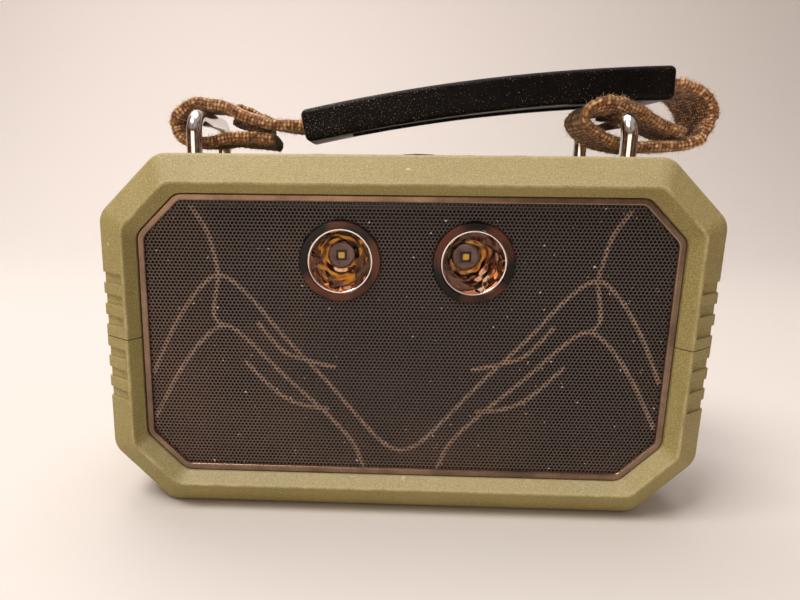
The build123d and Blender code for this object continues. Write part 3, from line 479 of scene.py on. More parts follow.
# The printed graphic: the outline of two hills with a valley between them, as (x, height) in millimetres from
# the sheet's centre, mirrored. It is a plain pattern of this model's own.
HILL_LINES = [
    [(-80, -12), (-73, 3), (-65, 15), (-58, 20), (-50, 15), (-38, 1), (-24, -14), (-12, -28), (-5, -35),
     (0, -37)],
    [(-80, -27), (-72, -12), (-64, -1), (-57, 4), (-50, 0), (-38, -12), (-25, -24), (-16, -34), (-12, -43)],
    [(-58, 20), (-60, 8), (-57, 4)],
    [(-46, 5), (-38, -4), (-30, -7), (-22, -9)],
    [(-50, -8), (-40, -18), (-32, -22), (-24, -23)],
    [(-66, 41), (-61, 33), (-58, 20)],
]
LINE_WIDTH = 1.3 * MM


def smooth_line(points, steps=24):
    """Points along a curve through the given ones."""
    padded = [points[0]] + points + [points[-1]]
    line = []
    for a, b, c, d in zip(padded, padded[1:], padded[2:], padded[3:]):
        for i in range(steps):
            t = i / steps
            line.append([
                0.5 * (2 * b[k] + (c[k] - a[k]) * t + (2 * a[k] - 5 * b[k] + 4 * c[k] - d[k]) * t * t
                       + (3 * b[k] - a[k] - 3 * c[k] + d[k]) * t ** 3) for k in (0, 1)
            ])
    line.append(list(points[-1]))
    return np.array(line) * MM


def print_strength(x, z):
    """How much of the printed line covers each place, from 0 to 1."""
    cover = np.zeros(len(x))
    here = np.stack([-np.abs(x), z - MIDDLE], 1)
    for points in HILL_LINES:
        line = smooth_line(points)
        gap = np.full(len(x), 1.0)
        for start in range(0, len(line), 8):
            piece = line[start:start + 8]
            gap = np.minimum(gap, np.sqrt(((here[:, None] - piece[None]) ** 2).sum(2)).min(1))
        cover = np.maximum(cover, np.clip((LINE_WIDTH / 2 - gap) / (0.3 * MM) + 0.5, 0, 1))
    return cover


# Semi-gloss paint in a random tone, browner and paler towards the lower left as painted light, with lint,
# and a painted glint, pale, on the crests between the holes.
sheet_paint, tree, surface = material(
    "powder paint on steel, near black", "#2A2220", roughness=0.32, Specular_IOR_Level=0.3, Coat_Weight=0.25,
    Coat_Roughness=0.10
)
place = add(tree, "TexCoord", out="Object")
wide = add(tree, "TexNoise", Vector=place, Scale=1 / (45 * MM), Detail=3.0, Roughness=0.6)
parts = add(tree, "SeparateXYZ", Vector=place, out=None)
# Painted light: the tone turns browner and paler towards the bottom and the left.
lower = add(
    tree, "Math", operation="MULTIPLY", i0=add(tree, "Math", operation="SUBTRACT", i0=parts[2], i1=MIDDLE),
    i1=-4.0,
)
tone_drift = add(
    tree, "Math", operation="ADD",
    i0=add(
        tree, "Math", operation="ADD", i0=wide,
        i1=add(tree, "Math", operation="MULTIPLY", i0=parts[0], i1=-3.0),
    ),
    i1=lower,
)
tone = add(tree, "ValToRGB", Fac=tone_drift, stops=[(0.30, "#1A1412"), (0.55, "#2A201B"), (0.85, "#4C372B")])
lint = add(
    tree, "ValToRGB",
    Fac=add(tree, "TexNoise", Vector=place, Scale=1 / (1.6 * MM), Detail=1.0, Roughness=0.6),
    stops=[(0.765, 0.0), (0.785, 0.9)],
)
printed = add(tree, "Attribute", attribute_name="printed", out="Fac")
worn = add(
    tree, "ValToRGB",
    Fac=add(tree, "TexNoise", Vector=place, Scale=1 / (2.2 * MM), Detail=3.0, Roughness=0.6),
    stops=[(0.30, 0.45), (0.60, 1.0)],
)
painted_glint = add(tree, "Attribute", attribute_name="painted_glint", out="Fac")
# Painted glint: the webs are painted pale towards their junctions, standing for the light they catch.
tone = add(
    tree, "Mix", data_type="RGBA", i0=add(tree, "ValToRGB", Fac=painted_glint, stops=[(0.74, 0.0), (1.0, 0.8)]),
    i6=tone, i7=srgb("#9C8C82"), out=2,
)
tone = add(
    tree, "Mix", data_type="RGBA", i0=add(tree, "Math", operation="MULTIPLY", i0=printed, i1=worn), i6=tone,
    i7=srgb("#927A6A"), out=2,
)
tone = add(tree, "Mix", data_type="RGBA", i0=lint, i6=tone, i7=srgb("#C9C2BC"), out=2)
tree.links.new(tone, surface.inputs["Base Color"])
add(
    tree, "ValToRGB", Fac=add(tree, "TexNoise", Vector=place, Scale=1 / (3 * MM), Detail=4.0, Roughness=0.6),
    stops=[(0.3, 0.30), (0.7, 0.50)], to=surface.inputs["Roughness"],
)
add(
    tree, "Bump", Height=add(tree, "TexNoise", Vector=place, Scale=1 / (0.4 * MM), Detail=4.0, Roughness=0.6),
    Distance=0.03 * MM, Strength=0.5, to=surface.inputs["Normal"],
)

cell = hole_cell(HOLE_PITCH, HOLE_RADIUS, sheet_high.y - sheet_low.y)
cell_rows = rows_tree(cell, sheet_paint)
row_step = HOLE_PITCH * math.sqrt(3) / 2
seeds = {"left": [], "right": []}
for row in range(-int(SHEET_HALF_HEIGHT / row_step) - 1, int(SHEET_HALF_HEIGHT / row_step) + 2):
    for column in range(-int(SHEET_HALF_WIDTH / HOLE_PITCH) - 1, int(SHEET_HALF_WIDTH / HOLE_PITCH) + 2):
        x = (column + 0.5 * (row % 2)) * HOLE_PITCH
        z = row * row_step
        if octagon_reach(x, z, SHEET_HALF_WIDTH, SHEET_HALF_HEIGHT, SHEET_CUT) > 0:
            continue
        if math.hypot(abs(x) - LAMP_X, z + MIDDLE - LAMP_Z) < LAMP_HOLE:
            continue
        seeds["left" if x < -HOLE_PITCH / 4 else "right"].append((x, sheet_low.y, z + MIDDLE))


def fit_to_sheet(piece):
    """Brings the outer cells in to the sheet's edge and out to the lamp holes."""
    count = len(piece.data.vertices)
    place = np.empty(count * 3)
    piece.data.vertices.foreach_get("co", place)
    place = place.reshape(-1, 3)
    x, z = place[:, 0], place[:, 2] - MIDDLE
    x[:] = np.clip(x, -SHEET_HALF_WIDTH, SHEET_HALF_WIDTH)
    z[:] = np.clip(z, -SHEET_HALF_HEIGHT, SHEET_HALF_HEIGHT)
    past = np.maximum(np.abs(x) + np.abs(z) - (SHEET_HALF_WIDTH + SHEET_HALF_HEIGHT - SHEET_CUT), 0) / 2
    x -= np.sign(x) * past
    z -= np.sign(z) * past
    place[:, 0] = x
    place[:, 2] = z + MIDDLE
    for side in (-1, 1):
        away = place[:, [0, 2]] - np.array([side * LAMP_X, LAMP_Z])
        gap = np.linalg.norm(away, axis=1)
        near = gap < LAMP_HOLE
        place[near, 0] = side * LAMP_X + away[near, 0] / gap[near] * LAMP_HOLE
        place[near, 2] = LAMP_Z + away[near, 1] / gap[near] * LAMP_HOLE
    piece.data.vertices.foreach_set("co", place.ravel())
    cover = piece.data.attributes.new("printed", "FLOAT", "POINT")
    cover.data.foreach_set("value", print_strength(place[:, 0], place[:, 2]))
    piece.data.update()


for side_name, points in seeds.items():
    half_sheet = grown(f"grille_sheet_{side_name}_half", points, cell_rows, Join_distance=0.02 * MM)
    fit_to_sheet(half_sheet)
    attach(half_sheet, "housing")
    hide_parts("grille_sheet")
bpy.data.objects.remove(cell)

# ------------------------------------------------------------------ acoustic cloth
# Thin black polyester cloth stretched behind the sheet. The eye has it only as dark inside the holes.
cloth, tree, surface = material("acoustic cloth, black", "#0B0A0A", roughness=0.95, Sheen_Weight=0.1)
place = add(tree, "TexCoord", out="Object")
add(
    tree, "Bump", Height=add(tree, "TexNoise", Vector=place, Scale=1 / (0.3 * MM), Detail=4.0, Roughness=0.6),
    Distance=0.05 * MM, Strength=0.5, to=surface.inputs["Normal"],
)
add(
    tree, "ValToRGB", Fac=add(tree, "TexNoise", Vector=place, Scale=1 / (8 * MM), Detail=4.0, Roughness=0.6),
    stops=[(0.3, "#090808"), (0.7, "#120F0F")], to=surface.inputs["Base Color"],
)
dress(cloth, "grille_cloth")

# ------------------------------------------------------------------ inner mouldings and rear cover
# Glass-filled black ABS with a fine spark-eroded texture; the rear cover and its flap show it outside.
black, tree, surface = material("moulded ABS, black", "#1C1B1D", roughness=0.55)
place = add(tree, "TexCoord", out="Object")
tone = add(
    tree, "ValToRGB", Fac=add(tree, "TexNoise", Vector=place, Scale=1 / (30 * MM), Detail=4.0, Roughness=0.6),
    stops=[(0.35, "#1A191B"), (0.7, "#262427")],
)
dust = add(
    tree, "ValToRGB",
    Fac=add(tree, "TexNoise", Vector=place, Scale=1 / (1.8 * MM), Detail=1.0, Roughness=0.6),
    stops=[(0.76, 0.0), (0.79, 0.6)],
)
add(
    tree, "Mix", data_type="RGBA", i0=dust, i6=tone, i7=srgb("#8B857E"), out=2,
    to=surface.inputs["Base Color"],
)
add(
    tree, "ValToRGB", Fac=add(tree, "TexNoise", Vector=place, Scale=1 / (12 * MM), Detail=5.0, Roughness=0.7),
    stops=[(0.35, 0.42), (0.7, 0.62)], to=surface.inputs["Roughness"],
)
add(
    tree, "Bump", Height=add(tree, "TexNoise", Vector=place, Scale=1 / GRAIN, Detail=2.0, Roughness=0.6),
    Distance=0.05 * MM, Strength=0.8, to=surface.inputs["Normal"],
)
dress(
    black, "front_baffle", "rear_cover", "port_well", "port_flap", "battery_tray", "radiator_plate",
    "radiator_frame", "driver_frame_left", "driver_frame_right", "key_panel",
)

# ------------------------------------------------------------------ lamps
# Each lamp is a vacuum-metallised parabolic cup behind a clear disc held by a polished ring, with an LED at the
# cup's focus: a square black package with an amber phosphor under a small dome, on a pale round board.
lens_low, lens_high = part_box("lamp_lens_left")
cup_low, cup_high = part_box("lamp_reflector_left")
led_low, led_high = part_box("lamp_led_left")
CUP_WALL = 0.7 * MM
CUP_RIM = (cup_high.x - cup_low.x) / 2 - CUP_WALL
CUP_HOLE = 4.1 * MM
CUP_DEPTH = 15.5 * MM
CUP_FOCAL = CUP_RIM ** 2 / (4 * CUP_DEPTH)
CUP_APEX = cup_low.y + CUP_DEPTH
BOARD_FACE = led_high.y - 1.6 * MM
RING_INNER = 9.4 * MM
RING_OUTER = 10.08 * MM


def set_down(name, shape, smooth=False):
    """Turns a bmesh into a mesh object, with its faces looking out."""
    bmesh.ops.recalc_face_normals(shape, faces=shape.faces)
    mesh = bpy.data.meshes.new(name)
    shape.to_mesh(mesh)
    shape.free()
    mesh.polygons.foreach_set("use_smooth", [smooth] * len(mesh.polygons))
    return linked(name, mesh)


def spun(name, profile, x, z, steps=96, closed=True):
    """A turned piece about the lamp's axis, from (radius, y) points in millimetres of radius and real y."""
    shape = bmesh.new()
    rings = []
    for radius, y in profile:
        if radius <= 0:
            rings.append([shape.verts.new((x, y, z))])
            continue
        rings.append([
            shape.verts.new((x + radius * math.cos(turn), y, z + radius * math.sin(turn)))
            for turn in (2 * math.pi * i / steps for i in range(steps))
        ])
    pairs = list(zip(rings, rings[1:] + rings[:1])) if closed else list(zip(rings, rings[1:]))
    for one, two in pairs:
        for i in range(steps):
            j = (i + 1) % steps
            corners = [one[i % len(one)], one[j % len(one)], two[j % len(two)], two[i % len(two)]]
            corners = list(dict.fromkeys(corners))
            if len(corners) > 2:
                shape.faces.new(corners)
    return set_down(name, shape, smooth=True)


def plate(name, half_w, half_h, corner, y0, y1, x, z, bevel):
    """A rounded square block that faces the front, with a bevelled front edge."""
    outline = []
    for sx, sz, start in ((1, 1, 0), (-1, 1, 90), (-1, -1, 180), (1, -1, 270)):
        for step in range(5):
            turn = math.radians(start + 22.5 * step)
            outline.append((
                sx * (half_w - corner) + corner * math.cos(turn),
                sz * (half_h - corner) + corner * math.sin(turn),
            ))
    shape = bmesh.new()
    levels = [(y1, 1.0), (y0 + bevel, 1.0), (y0, 1.0 - bevel / half_w)]
    rings = [[shape.verts.new((x + a * grow, y, z + b * grow)) for a, b in outline] for y, grow in levels]
    for one, two in zip(rings, rings[1:]):
        for i in range(len(outline)):
            j = (i + 1) % len(outline)
            shape.faces.new((one[i], one[j], two[j], two[i]))
    shape.faces.new(rings[0])
    shape.faces.new(rings[-1])
    return set_down(name, shape)


def finish_piece(piece, made, body, slot, *replaced):
    piece.data.materials.clear()
    piece.data.materials.append(made)
    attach(piece, body)
    if replaced:
        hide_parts(*replaced)
    return piece


# The cup's metal film is bright and slightly warm, and uneven enough to break up what it mirrors.
chrome_cup, tree, surface = material("vacuum-metallised cup", "#E2B48E", roughness=0.06, metallic=1.0)
place = add(tree, "TexCoord", out="Object")
lacquer = add(tree, "TexNoise", Vector=place, Scale=1 / (5 * MM), Detail=2.0, Roughness=0.6)
add(
    tree, "ValToRGB", Fac=lacquer, stops=[(0.40, "#EFDCCB"), (0.52, "#D9A884"), (0.64, "#EAD2C0")],
    to=surface.inputs["Base Color"],
)
add(
    tree, "Bump", Height=add(tree, "TexNoise", Vector=place, Scale=1 / (6.5 * MM), Detail=1.0, Roughness=0.6),
    Distance=0.9 * MM, Strength=0.8, to=surface.inputs["Normal"],
)

# The ring reads as a thin bright line round the lens.
ring_metal, tree, surface = material("polished stainless ring", "#E6E2DE", roughness=0.12, metallic=1.0)
add(
    tree, "ValToRGB",
    Fac=add(
        tree, "TexNoise", Vector=add(tree, "TexCoord", out="Object"), Scale=1 / (1.5 * MM), Detail=4.0,
        Roughness=0.6,
    ),
    stops=[(0.4, 0.08), (0.7, 0.22)], to=surface.inputs["Roughness"],
)

# The lens is glare coated: the eye sees no haze on it, so its index is set low.
clear, tree, surface = material(
    "polycarbonate, clear, glare coated", "#FFFFFF", roughness=0.01, Transmission_Weight=1.0, IOR=1.10,
)
add(
    tree, "Bump",
    Height=add(
        tree, "TexNoise", Vector=add(tree, "TexCoord", out="Object"), Scale=1 / (4 * MM), Detail=4.0,
        Roughness=0.6,
    ),
    Distance=0.02 * MM, Strength=0.2, to=surface.inputs["Normal"],
)
dress(clear, "lamp_lens_left", "lamp_lens_right")

# The LED's board is a dull pinkish grey, its package near black, and its phosphor a soft amber with a faint
# painted glow.
led_board, tree, surface = material("solder-masked board, pale", "#9A8684", roughness=0.30)
add(
    tree, "ValToRGB",
    Fac=add(
        tree, "TexNoise", Vector=add(tree, "TexCoord", out="Object"), Scale=1 / (2 * MM), Detail=4.0,
        Roughness=0.6,
    ),
    stops=[(0.3, "#84706E"), (0.7, "#A8938F")], to=surface.inputs["Base Color"],
)

package, tree, surface = material("moulded LED package, black", "#15100E", roughness=0.3)
add(
    tree, "Bump",
    Height=add(
        tree, "TexNoise", Vector=add(tree, "TexCoord", out="Object"), Scale=1 / (0.4 * MM), Detail=4.0,
        Roughness=0.6,
    ),
    Distance=0.02 * MM, Strength=0.4, to=surface.inputs["Normal"],
)

# Painted glow: the phosphor is given a faint emission of its own, far below a lit LED.
phosphor, tree, surface = material(
    "silicone phosphor, amber", "#D8A63A", roughness=0.45, Emission_Color=srgb("#D8A63A"),
    Emission_Strength=0.25,
)
add(
    tree, "ValToRGB",
    Fac=add(
        tree, "TexNoise", Vector=add(tree, "TexCoord", out="Object"), Scale=1 / (0.5 * MM), Detail=4.0,
        Roughness=0.6,
    ),
    stops=[(0.3, "#C8922B"), (0.7, "#E6BC55")], to=surface.inputs["Base Color"],
)

for side_name, side in (("left", -1), ("right", 1)):
    x = side * LAMP_X
    radii = [CUP_HOLE + (CUP_RIM - CUP_HOLE) * (i / 40) ** 0.8 for i in range(41)]
    bowl = [(r, CUP_APEX - r * r / (4 * CUP_FOCAL)) for r in radii]
    back = [(r + CUP_WALL, y) for r, y in reversed(bowl)]
    cup = spun(f"lamp_cup_{side_name}", bowl + back, x, LAMP_Z)
    finish_piece(cup, chrome_cup, "housing", "reflector", f"lamp_reflector_{side_name}")

    face = lens_low.y - 0.08 * MM
    ring = spun(
        f"lamp_ring_{side_name}",
        [(RING_INNER, face), (RING_INNER + 0.08 * MM, face - 0.2 * MM),
         ((RING_INNER + RING_OUTER) / 2, face - 0.3 * MM), (RING_OUTER - 0.05 * MM, face - 0.22 * MM),
         (RING_OUTER, face)],
        x, LAMP_Z,
    )
    finish_piece(ring, ring_metal, "housing", "reflector")

    board = spun(
        f"lamp_board_{side_name}",
        [(0, BOARD_FACE), (3.4 * MM, BOARD_FACE), (3.5 * MM, BOARD_FACE - 0.25 * MM),
         (4.0 * MM, BOARD_FACE - 0.25 * MM), (4.1 * MM, BOARD_FACE), (CUP_RIM - 0.2 * MM, BOARD_FACE),
         (CUP_RIM, BOARD_FACE + 0.2 * MM), (CUP_RIM, led_high.y), (0, led_high.y)],
        x, LAMP_Z, closed=False,
    )
    finish_piece(board, led_board, "housing", "led", f"lamp_led_{side_name}")
    body = plate(
        f"lamp_package_{side_name}", 1.75 * MM, 1.75 * MM, 0.3 * MM, BOARD_FACE - 0.75 * MM,
        BOARD_FACE - 0.02 * MM, x, LAMP_Z, 0.15 * MM,
    )
    finish_piece(body, package, "housing", "led")
    glow = plate(
        f"lamp_phosphor_{side_name}", 1.0 * MM, 1.0 * MM, 0.45 * MM, BOARD_FACE - 1.0 * MM,
        BOARD_FACE - 0.7 * MM, x, LAMP_Z, 0.12 * MM,
    )
    finish_piece(glow, phosphor, "housing", "led")

# The heat sinks are bare pressed metal, a pale even grey.
bare, tree, surface = material("extruded aluminium", "#B9BABC", roughness=0.4, metallic=1.0)
add(
    tree, "ValToRGB",
    Fac=add(
        tree, "TexNoise", Vector=add(tree, "TexCoord", out="Object"), Scale=1 / (1 * MM), Detail=4.0,
        Roughness=0.6,
    ),
    stops=[(0.3, 0.32), (0.7, 0.5)], to=surface.inputs["Roughness"],
)
dress(bare, "lamp_heatsink_left", "lamp_heatsink_right")

# ------------------------------------------------------------------ drivers
# Ferrite ring magnets read as dark grey stone. The cones are pressed from coated pulp, matt and faintly
# fibrous.
ferrite, tree, surface = material("ground ferrite", "#3A3B3E", roughness=0.5, metallic=0.3)
add(
    tree, "ValToRGB",
    Fac=add(
        tree, "TexNoise", Vector=add(tree, "TexCoord", out="Object"), Scale=1 / (1 * MM), Detail=4.0,
        Roughness=0.6,
    ),
    stops=[(0.3, "#333437"), (0.7, "#46474B")], to=surface.inputs["Base Color"],
)
dress(ferrite, "driver_magnet_left", "driver_magnet_right")

pulp, tree, surface = material("coated pulp, dark", "#202022", roughness=0.6)
add(
    tree, "Bump",
    Height=add(
        tree, "TexNoise", Vector=add(tree, "TexCoord", out="Object"), Scale=1 / (1.2 * MM), Detail=5.0,
        Roughness=0.7,
    ),
    Distance=0.1 * MM, Strength=0.6, to=surface.inputs["Normal"],
)
dress(pulp, "driver_cone_left", "driver_cone_right")

# ------------------------------------------------------------------ rear cover's screws
# Six button-head screws of blacked steel hold the rear cover. Each has a round socket in its head, and only the
# head's edge catches the light.
SCREW_HEAD = 2.7 * MM
SCREW_SOCKET = 1.15 * MM
SCREW_RISE = 0.9 * MM
SCREW_SPOTS = [(x * MM, z * MM) for x in (-70, 70) for z in (-35, 35)] + [(0.0, -38 * MM), (0.0, 38 * MM)]

blacked, tree, surface = material("blacked steel", "#3C3B3D", roughness=0.32, metallic=1.0)
add(
    tree, "ValToRGB",
    Fac=add(
        tree, "TexNoise", Vector=add(tree, "TexCoord", out="Object"), Scale=1 / (1.5 * MM), Detail=4.0,
        Roughness=0.6,
    ),
    stops=[(0.3, 0.26), (0.7, 0.44)], to=surface.inputs["Roughness"],
)
cover_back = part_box("rear_cover")[1].y
head = spun(
    "screw_head",
    [(0, -0.2 * MM), (SCREW_HEAD, -0.2 * MM), (SCREW_HEAD, 0.25 * MM), (SCREW_HEAD * 0.8, SCREW_RISE * 0.8),
     (SCREW_HEAD * 0.5, SCREW_RISE), (SCREW_SOCKET * 1.15, SCREW_RISE), (SCREW_SOCKET, SCREW_RISE * 0.85),
     (SCREW_SOCKET, 0.1 * MM), (0, 0.1 * MM)],
    0.0, 0.0, steps=24, closed=False,
)
spots = [(x, cover_back, MIDDLE + z) for x, z in SCREW_SPOTS]
cover_screws = grown("rear_cover_screws", spots, rows_tree(head, blacked))
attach(cover_screws, "housing")
bpy.data.objects.remove(head)

# ------------------------------------------------------------------ boards and cells
# Glass-epoxy boards under a glossy, mottled green mask. The lithium cells sit in a taut blue sleeve that
# shines.
mask, tree, surface = material("solder-masked board, green", "#14502E", roughness=0.35)
add(
    tree, "ValToRGB",
    Fac=add(
        tree, "TexNoise", Vector=add(tree, "TexCoord", out="Object"), Scale=1 / (4 * MM), Detail=3.0,
        Roughness=0.6,
    ),
    stops=[(0.4, "#0F4426"), (0.7, "#1B6038")], to=surface.inputs["Base Color"],
)
dress(mask, "main_board", "port_board", "key_board")

sleeve, tree, surface = material("heat-shrink sleeve, blue", "#1E4E8C", roughness=0.3)
add(
    tree, "Bump",
    Height=add(
        tree, "TexNoise", Vector=add(tree, "TexCoord", out="Object"), Scale=1 / (12 * MM), Detail=4.0,
        Roughness=0.6,
    ),
    Distance=0.2 * MM, Strength=0.3, to=surface.inputs["Normal"],
)
dress(sleeve, "battery_cells")

# ------------------------------------------------------------------ keys
# Five keys moulded in soft, dull olive silicone, in a black top panel. Each has a plain raised sign on its cap,
# which the eye finds by its shadow alone.
SIGN_RISE = 0.22 * MM
SIGN_STROKE = 0.7 * MM

silicone, tree, surface = material("silicone rubber, olive", "#6F6642", roughness=0.7, Sheen_Weight=0.05)
place = add(tree, "TexCoord", out="Object")
add(
    tree, "ValToRGB", Fac=add(tree, "TexNoise", Vector=place, Scale=1 / (7 * MM), Detail=4.0, Roughness=0.6),
    stops=[(0.4, "#6A613E"), (0.7, "#7D744F")], to=surface.inputs["Base Color"],
)
add(
    tree, "Bump", Height=add(tree, "TexNoise", Vector=place, Scale=1 / (0.4 * MM), Detail=4.0, Roughness=0.6),
    Distance=0.04 * MM, Strength=0.5, to=surface.inputs["Normal"],
)


def bar(x0, y0, x1, y1, stroke=SIGN_STROKE):
    """The four corners of a straight stroke."""
    run = Vector((x1 - x0, y1 - y0)).normalized() * stroke / 2
    side = Vector((-run.y, run.x))
    return [
        (x0 - side.x, y0 - side.y), (x1 - side.x, y1 - side.y),
        (x1 + side.x, y1 + side.y), (x0 + side.x, y0 + side.y),
    ]


def arc(radius, start, stop, steps=28, stroke=SIGN_STROKE):
    """A curved stroke, as a run of short bars."""
    turns = [math.radians(start + (stop - start) * i / steps) for i in range(steps + 1)]
    outer, inner = radius + stroke / 2, radius - stroke / 2
    return [
        [(inner * math.cos(a), inner * math.sin(a)), (outer * math.cos(a), outer * math.sin(a)),
         (outer * math.cos(b), outer * math.sin(b)), (inner * math.cos(b), inner * math.sin(b))]
        for a, b in zip(turns, turns[1:])
    ]


SIGN = 2.1 * MM
KEY_SIGNS = {
    "key_power": [bar(0, 0.2 * MM, 0, SIGN + 0.3 * MM)] + arc(SIGN, 125, 415),
    "key_minus": [bar(-SIGN, 0, SIGN, 0)],
    "key_play": [[(-0.7 * SIGN, -SIGN), (SIGN, 0), (-0.7 * SIGN, SIGN)]],
    "key_plus": [bar(-SIGN, 0, SIGN, 0), bar(0, -SIGN, 0, -SIGN_STROKE / 2), bar(0, SIGN_STROKE / 2, 0, SIGN)],
    "key_lamp": arc(0.45 * SIGN, 0, 360) + [
        bar(0.8 * SIGN * math.cos(math.radians(t)), 0.8 * SIGN * math.sin(math.radians(t)),
            1.25 * SIGN * math.cos(math.radians(t)), 1.25 * SIGN * math.sin(math.radians(t)))
        for t in range(0, 360, 45)
    ],
}
for key_name, outlines in KEY_SIGNS.items():
    low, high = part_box(key_name)
    x, y = (low.x + high.x) / 2, (low.y + high.y) / 2
    shape = bmesh.new()
    for outline in outlines:
        rings = [
            [shape.verts.new((x + a, y + b, high.z + rise)) for a, b in outline]
            for rise in (-0.1 * MM, SIGN_RISE)
        ]
        for i in range(len(outline)):
            j = (i + 1) % len(outline)
            shape.faces.new((rings[0][i], rings[0][j], rings[1][j], rings[1][i]))
        shape.faces.new(rings[0])
        shape.faces.new(rings[1])
    bmesh.ops.remove_doubles(shape, verts=shape.verts, dist=0.001 * MM)
    finish_piece(set_down(key_name + "_sign", shape), silicone, key_name + "_body", "key")
    dress(silicone, key_name)

# ------------------------------------------------------------------ bails
# U-bolts bent from bright nickel-plated steel wire, nutted under the casing's top. They mirror what is round
# them, with a duller patch here and there.
bright, tree, surface = material("bright nickel-plated wire", "#DAD7D3", roughness=0.12, metallic=1.0)
place = add(tree, "TexCoord", out="Object")
add(
    tree, "ValToRGB",
    Fac=add(tree, "TexNoise", Vector=place, Scale=1 / (2.5 * MM), Detail=5.0, Roughness=0.7),
    stops=[(0.4, 0.08), (0.75, 0.28)], to=surface.inputs["Roughness"],
)
dress(bright, "bail_left", "bail_right")

# ------------------------------------------------------------------ grip
# A satin black moulding with a fine leather-like grain, dusty in its grain, over the webbing.
satin, tree, surface = material("moulded grip, satin black", "#080707", roughness=0.38, Specular_IOR_Level=0.1)
place = add(tree, "TexCoord", out="Object")
parts = add(tree, "SeparateXYZ", Vector=place, out=None)
pale_share = add(
    tree, "Math", operation="MULTIPLY",
    i0=add(
        tree, "Math", operation="SUBTRACT",
        i0=add(tree, "TexNoise", Vector=place, Scale=1 / (20 * MM), Detail=3.0, Roughness=0.6), i1=0.5,
    ),
    i1=0.10,
)
toward = add(tree, "Math", operation="MULTIPLY", i0=parts[0], i1=-0.55)
share = add(tree, "Math", operation="ADD", i0=pale_share, i1=toward)
grit = add(
    tree, "Math", operation="ADD",
    i0=add(tree, "TexNoise", Vector=place, Scale=1 / (0.42 * MM), Detail=1.0, Roughness=0.6), i1=share,
)
specks = add(tree, "ValToRGB", Fac=grit, stops=[(0.66, 0.0), (0.72, 0.75)])
tone_drift = add(
    tree, "ValToRGB", Fac=add(tree, "TexNoise", Vector=place, Scale=1 / (14 * MM), Detail=4.0, Roughness=0.6),
    stops=[(0.45, "#070606"), (0.75, "#120E0C")],
)
add(
    tree, "Mix", data_type="RGBA", i0=specks, i6=tone_drift, i7=srgb("#A08C7A"), out=2,
    to=surface.inputs["Base Color"],
)
add(
    tree, "ValToRGB", Fac=add(tree, "TexNoise", Vector=place, Scale=1 / (9 * MM), Detail=4.0, Roughness=0.6),
    stops=[(0.35, 0.34), (0.7, 0.50)], to=surface.inputs["Roughness"],
)
add(
    tree, "Bump", Height=add(tree, "TexNoise", Vector=place, Scale=1 / (0.7 * MM), Detail=3.0, Roughness=0.6),
    Distance=0.10 * MM, Strength=0.6, to=surface.inputs["Normal"],
)
dress(satin, "grip")

# ------------------------------------------------------------------ webbing
# Coarse jute-coloured webbing in a plain weave, about 21 mm wide, fraying along its edges. It runs through the
# grip, loops round each bail and is sewn back on itself. The grip's body is rigid, and the right-hand strand
# goes over from the casing to the handle.
TOP = casing_high.z
YARN = 1.18 * MM                   # pitch of the yarns, both ways
YARN_RISE = 0.33 * MM
WEAVE_STEP = 0.28 * MM
EDGE_WANDER = 0.28 * MM
LUMP = 0.18 * MM
STRAP_HALF = 10.5 * MM
STRAP_THICK = 3.0 * MM
GRIP_EDGE = 9.6 * MM               # where the grip's lower edge starts to round
CURL_RADIUS = 4.9 * MM
CURL_WIDTH = 7.0 * MM

# Along the middle of the strap, in millimetres: x, height over the casing, lean of the strap in degrees
# (positive lifts the near edge), and how far the near edge curls up round the grip, from 0 to 1.
LEFT_STRAND = [
    (-31.5, 9.3, 0, 0), (-37.4, 9.7, 0, 0), (-41.5, 9.8, -2, 0), (-45.7, 10.4, -4, 0), (-50.1, 11.9, -5, 0),
    (-54.9, 13.7, -3, 0), (-59.2, 15.4, 0, 0), (-63.5, 16.3, 0, 0), (-67.6, 16.3, 2, 0), (-71.4, 14.6, 3, 0),
    (-74.4, 12.0, 3, 0), (-75.3, 8.9, 2, 0), (-73.9, 6.0, 0, 0), (-71.0, 4.5, 0, 0), (-66.9, 4.2, 0, 0),
    (-62.2, 4.4, 1, 0), (-56.7, 5.1, 3, 0), (-52.4, 5.1, 5, 0), (-48.0, 5.0, 6, 0), (-43.4, 4.6, 6, 0),
    (-41.8, 4.4, 6, 0),
]
RIGHT_STRAND = [
    (80.5, 22.8, 0, 0), (83.0, 22.8, 0, 0), (86.4, 22.2, 1, 0), (90.3, 20.7, 3, 0), (93.5, 18.1, 4, 0),
    (95.6, 14.6, 4, 0), (95.8, 10.9, 2, 0), (94.1, 7.4, 0, 0), (91.2, 5.3, 0, 0), (87.4, 4.2, 0, 0),
    (83.2, 3.8, 0, 0),
]
RIGHT_LOOP = [
    (83.2, 3.8, 0, 0), (78.5, 3.8, 0, 0), (74.3, 4.0, 0, 0), (70.1, 4.4, 0, 0), (64.6, 5.9, 0, 0),
    (60.3, 8.4, 0, 0.1), (57.3, 10.9, 0, 0.3), (56.7, 13.0, 0, 0.5), (58.8, 14.85, 0, 0.72),
    (62.5, 15.35, 0, 0.8), (66.5, 15.25, 0, 0.65), (70.5, 14.5, 0, 0.4), (74.6, 13.0, 0, 0.2),
    (78.6, 11.4, 0, 0.05), (82.6, 9.9, 0, 0), (86.2, 8.6, 0, 0), (89.2, 7.5, 0, 0),
]


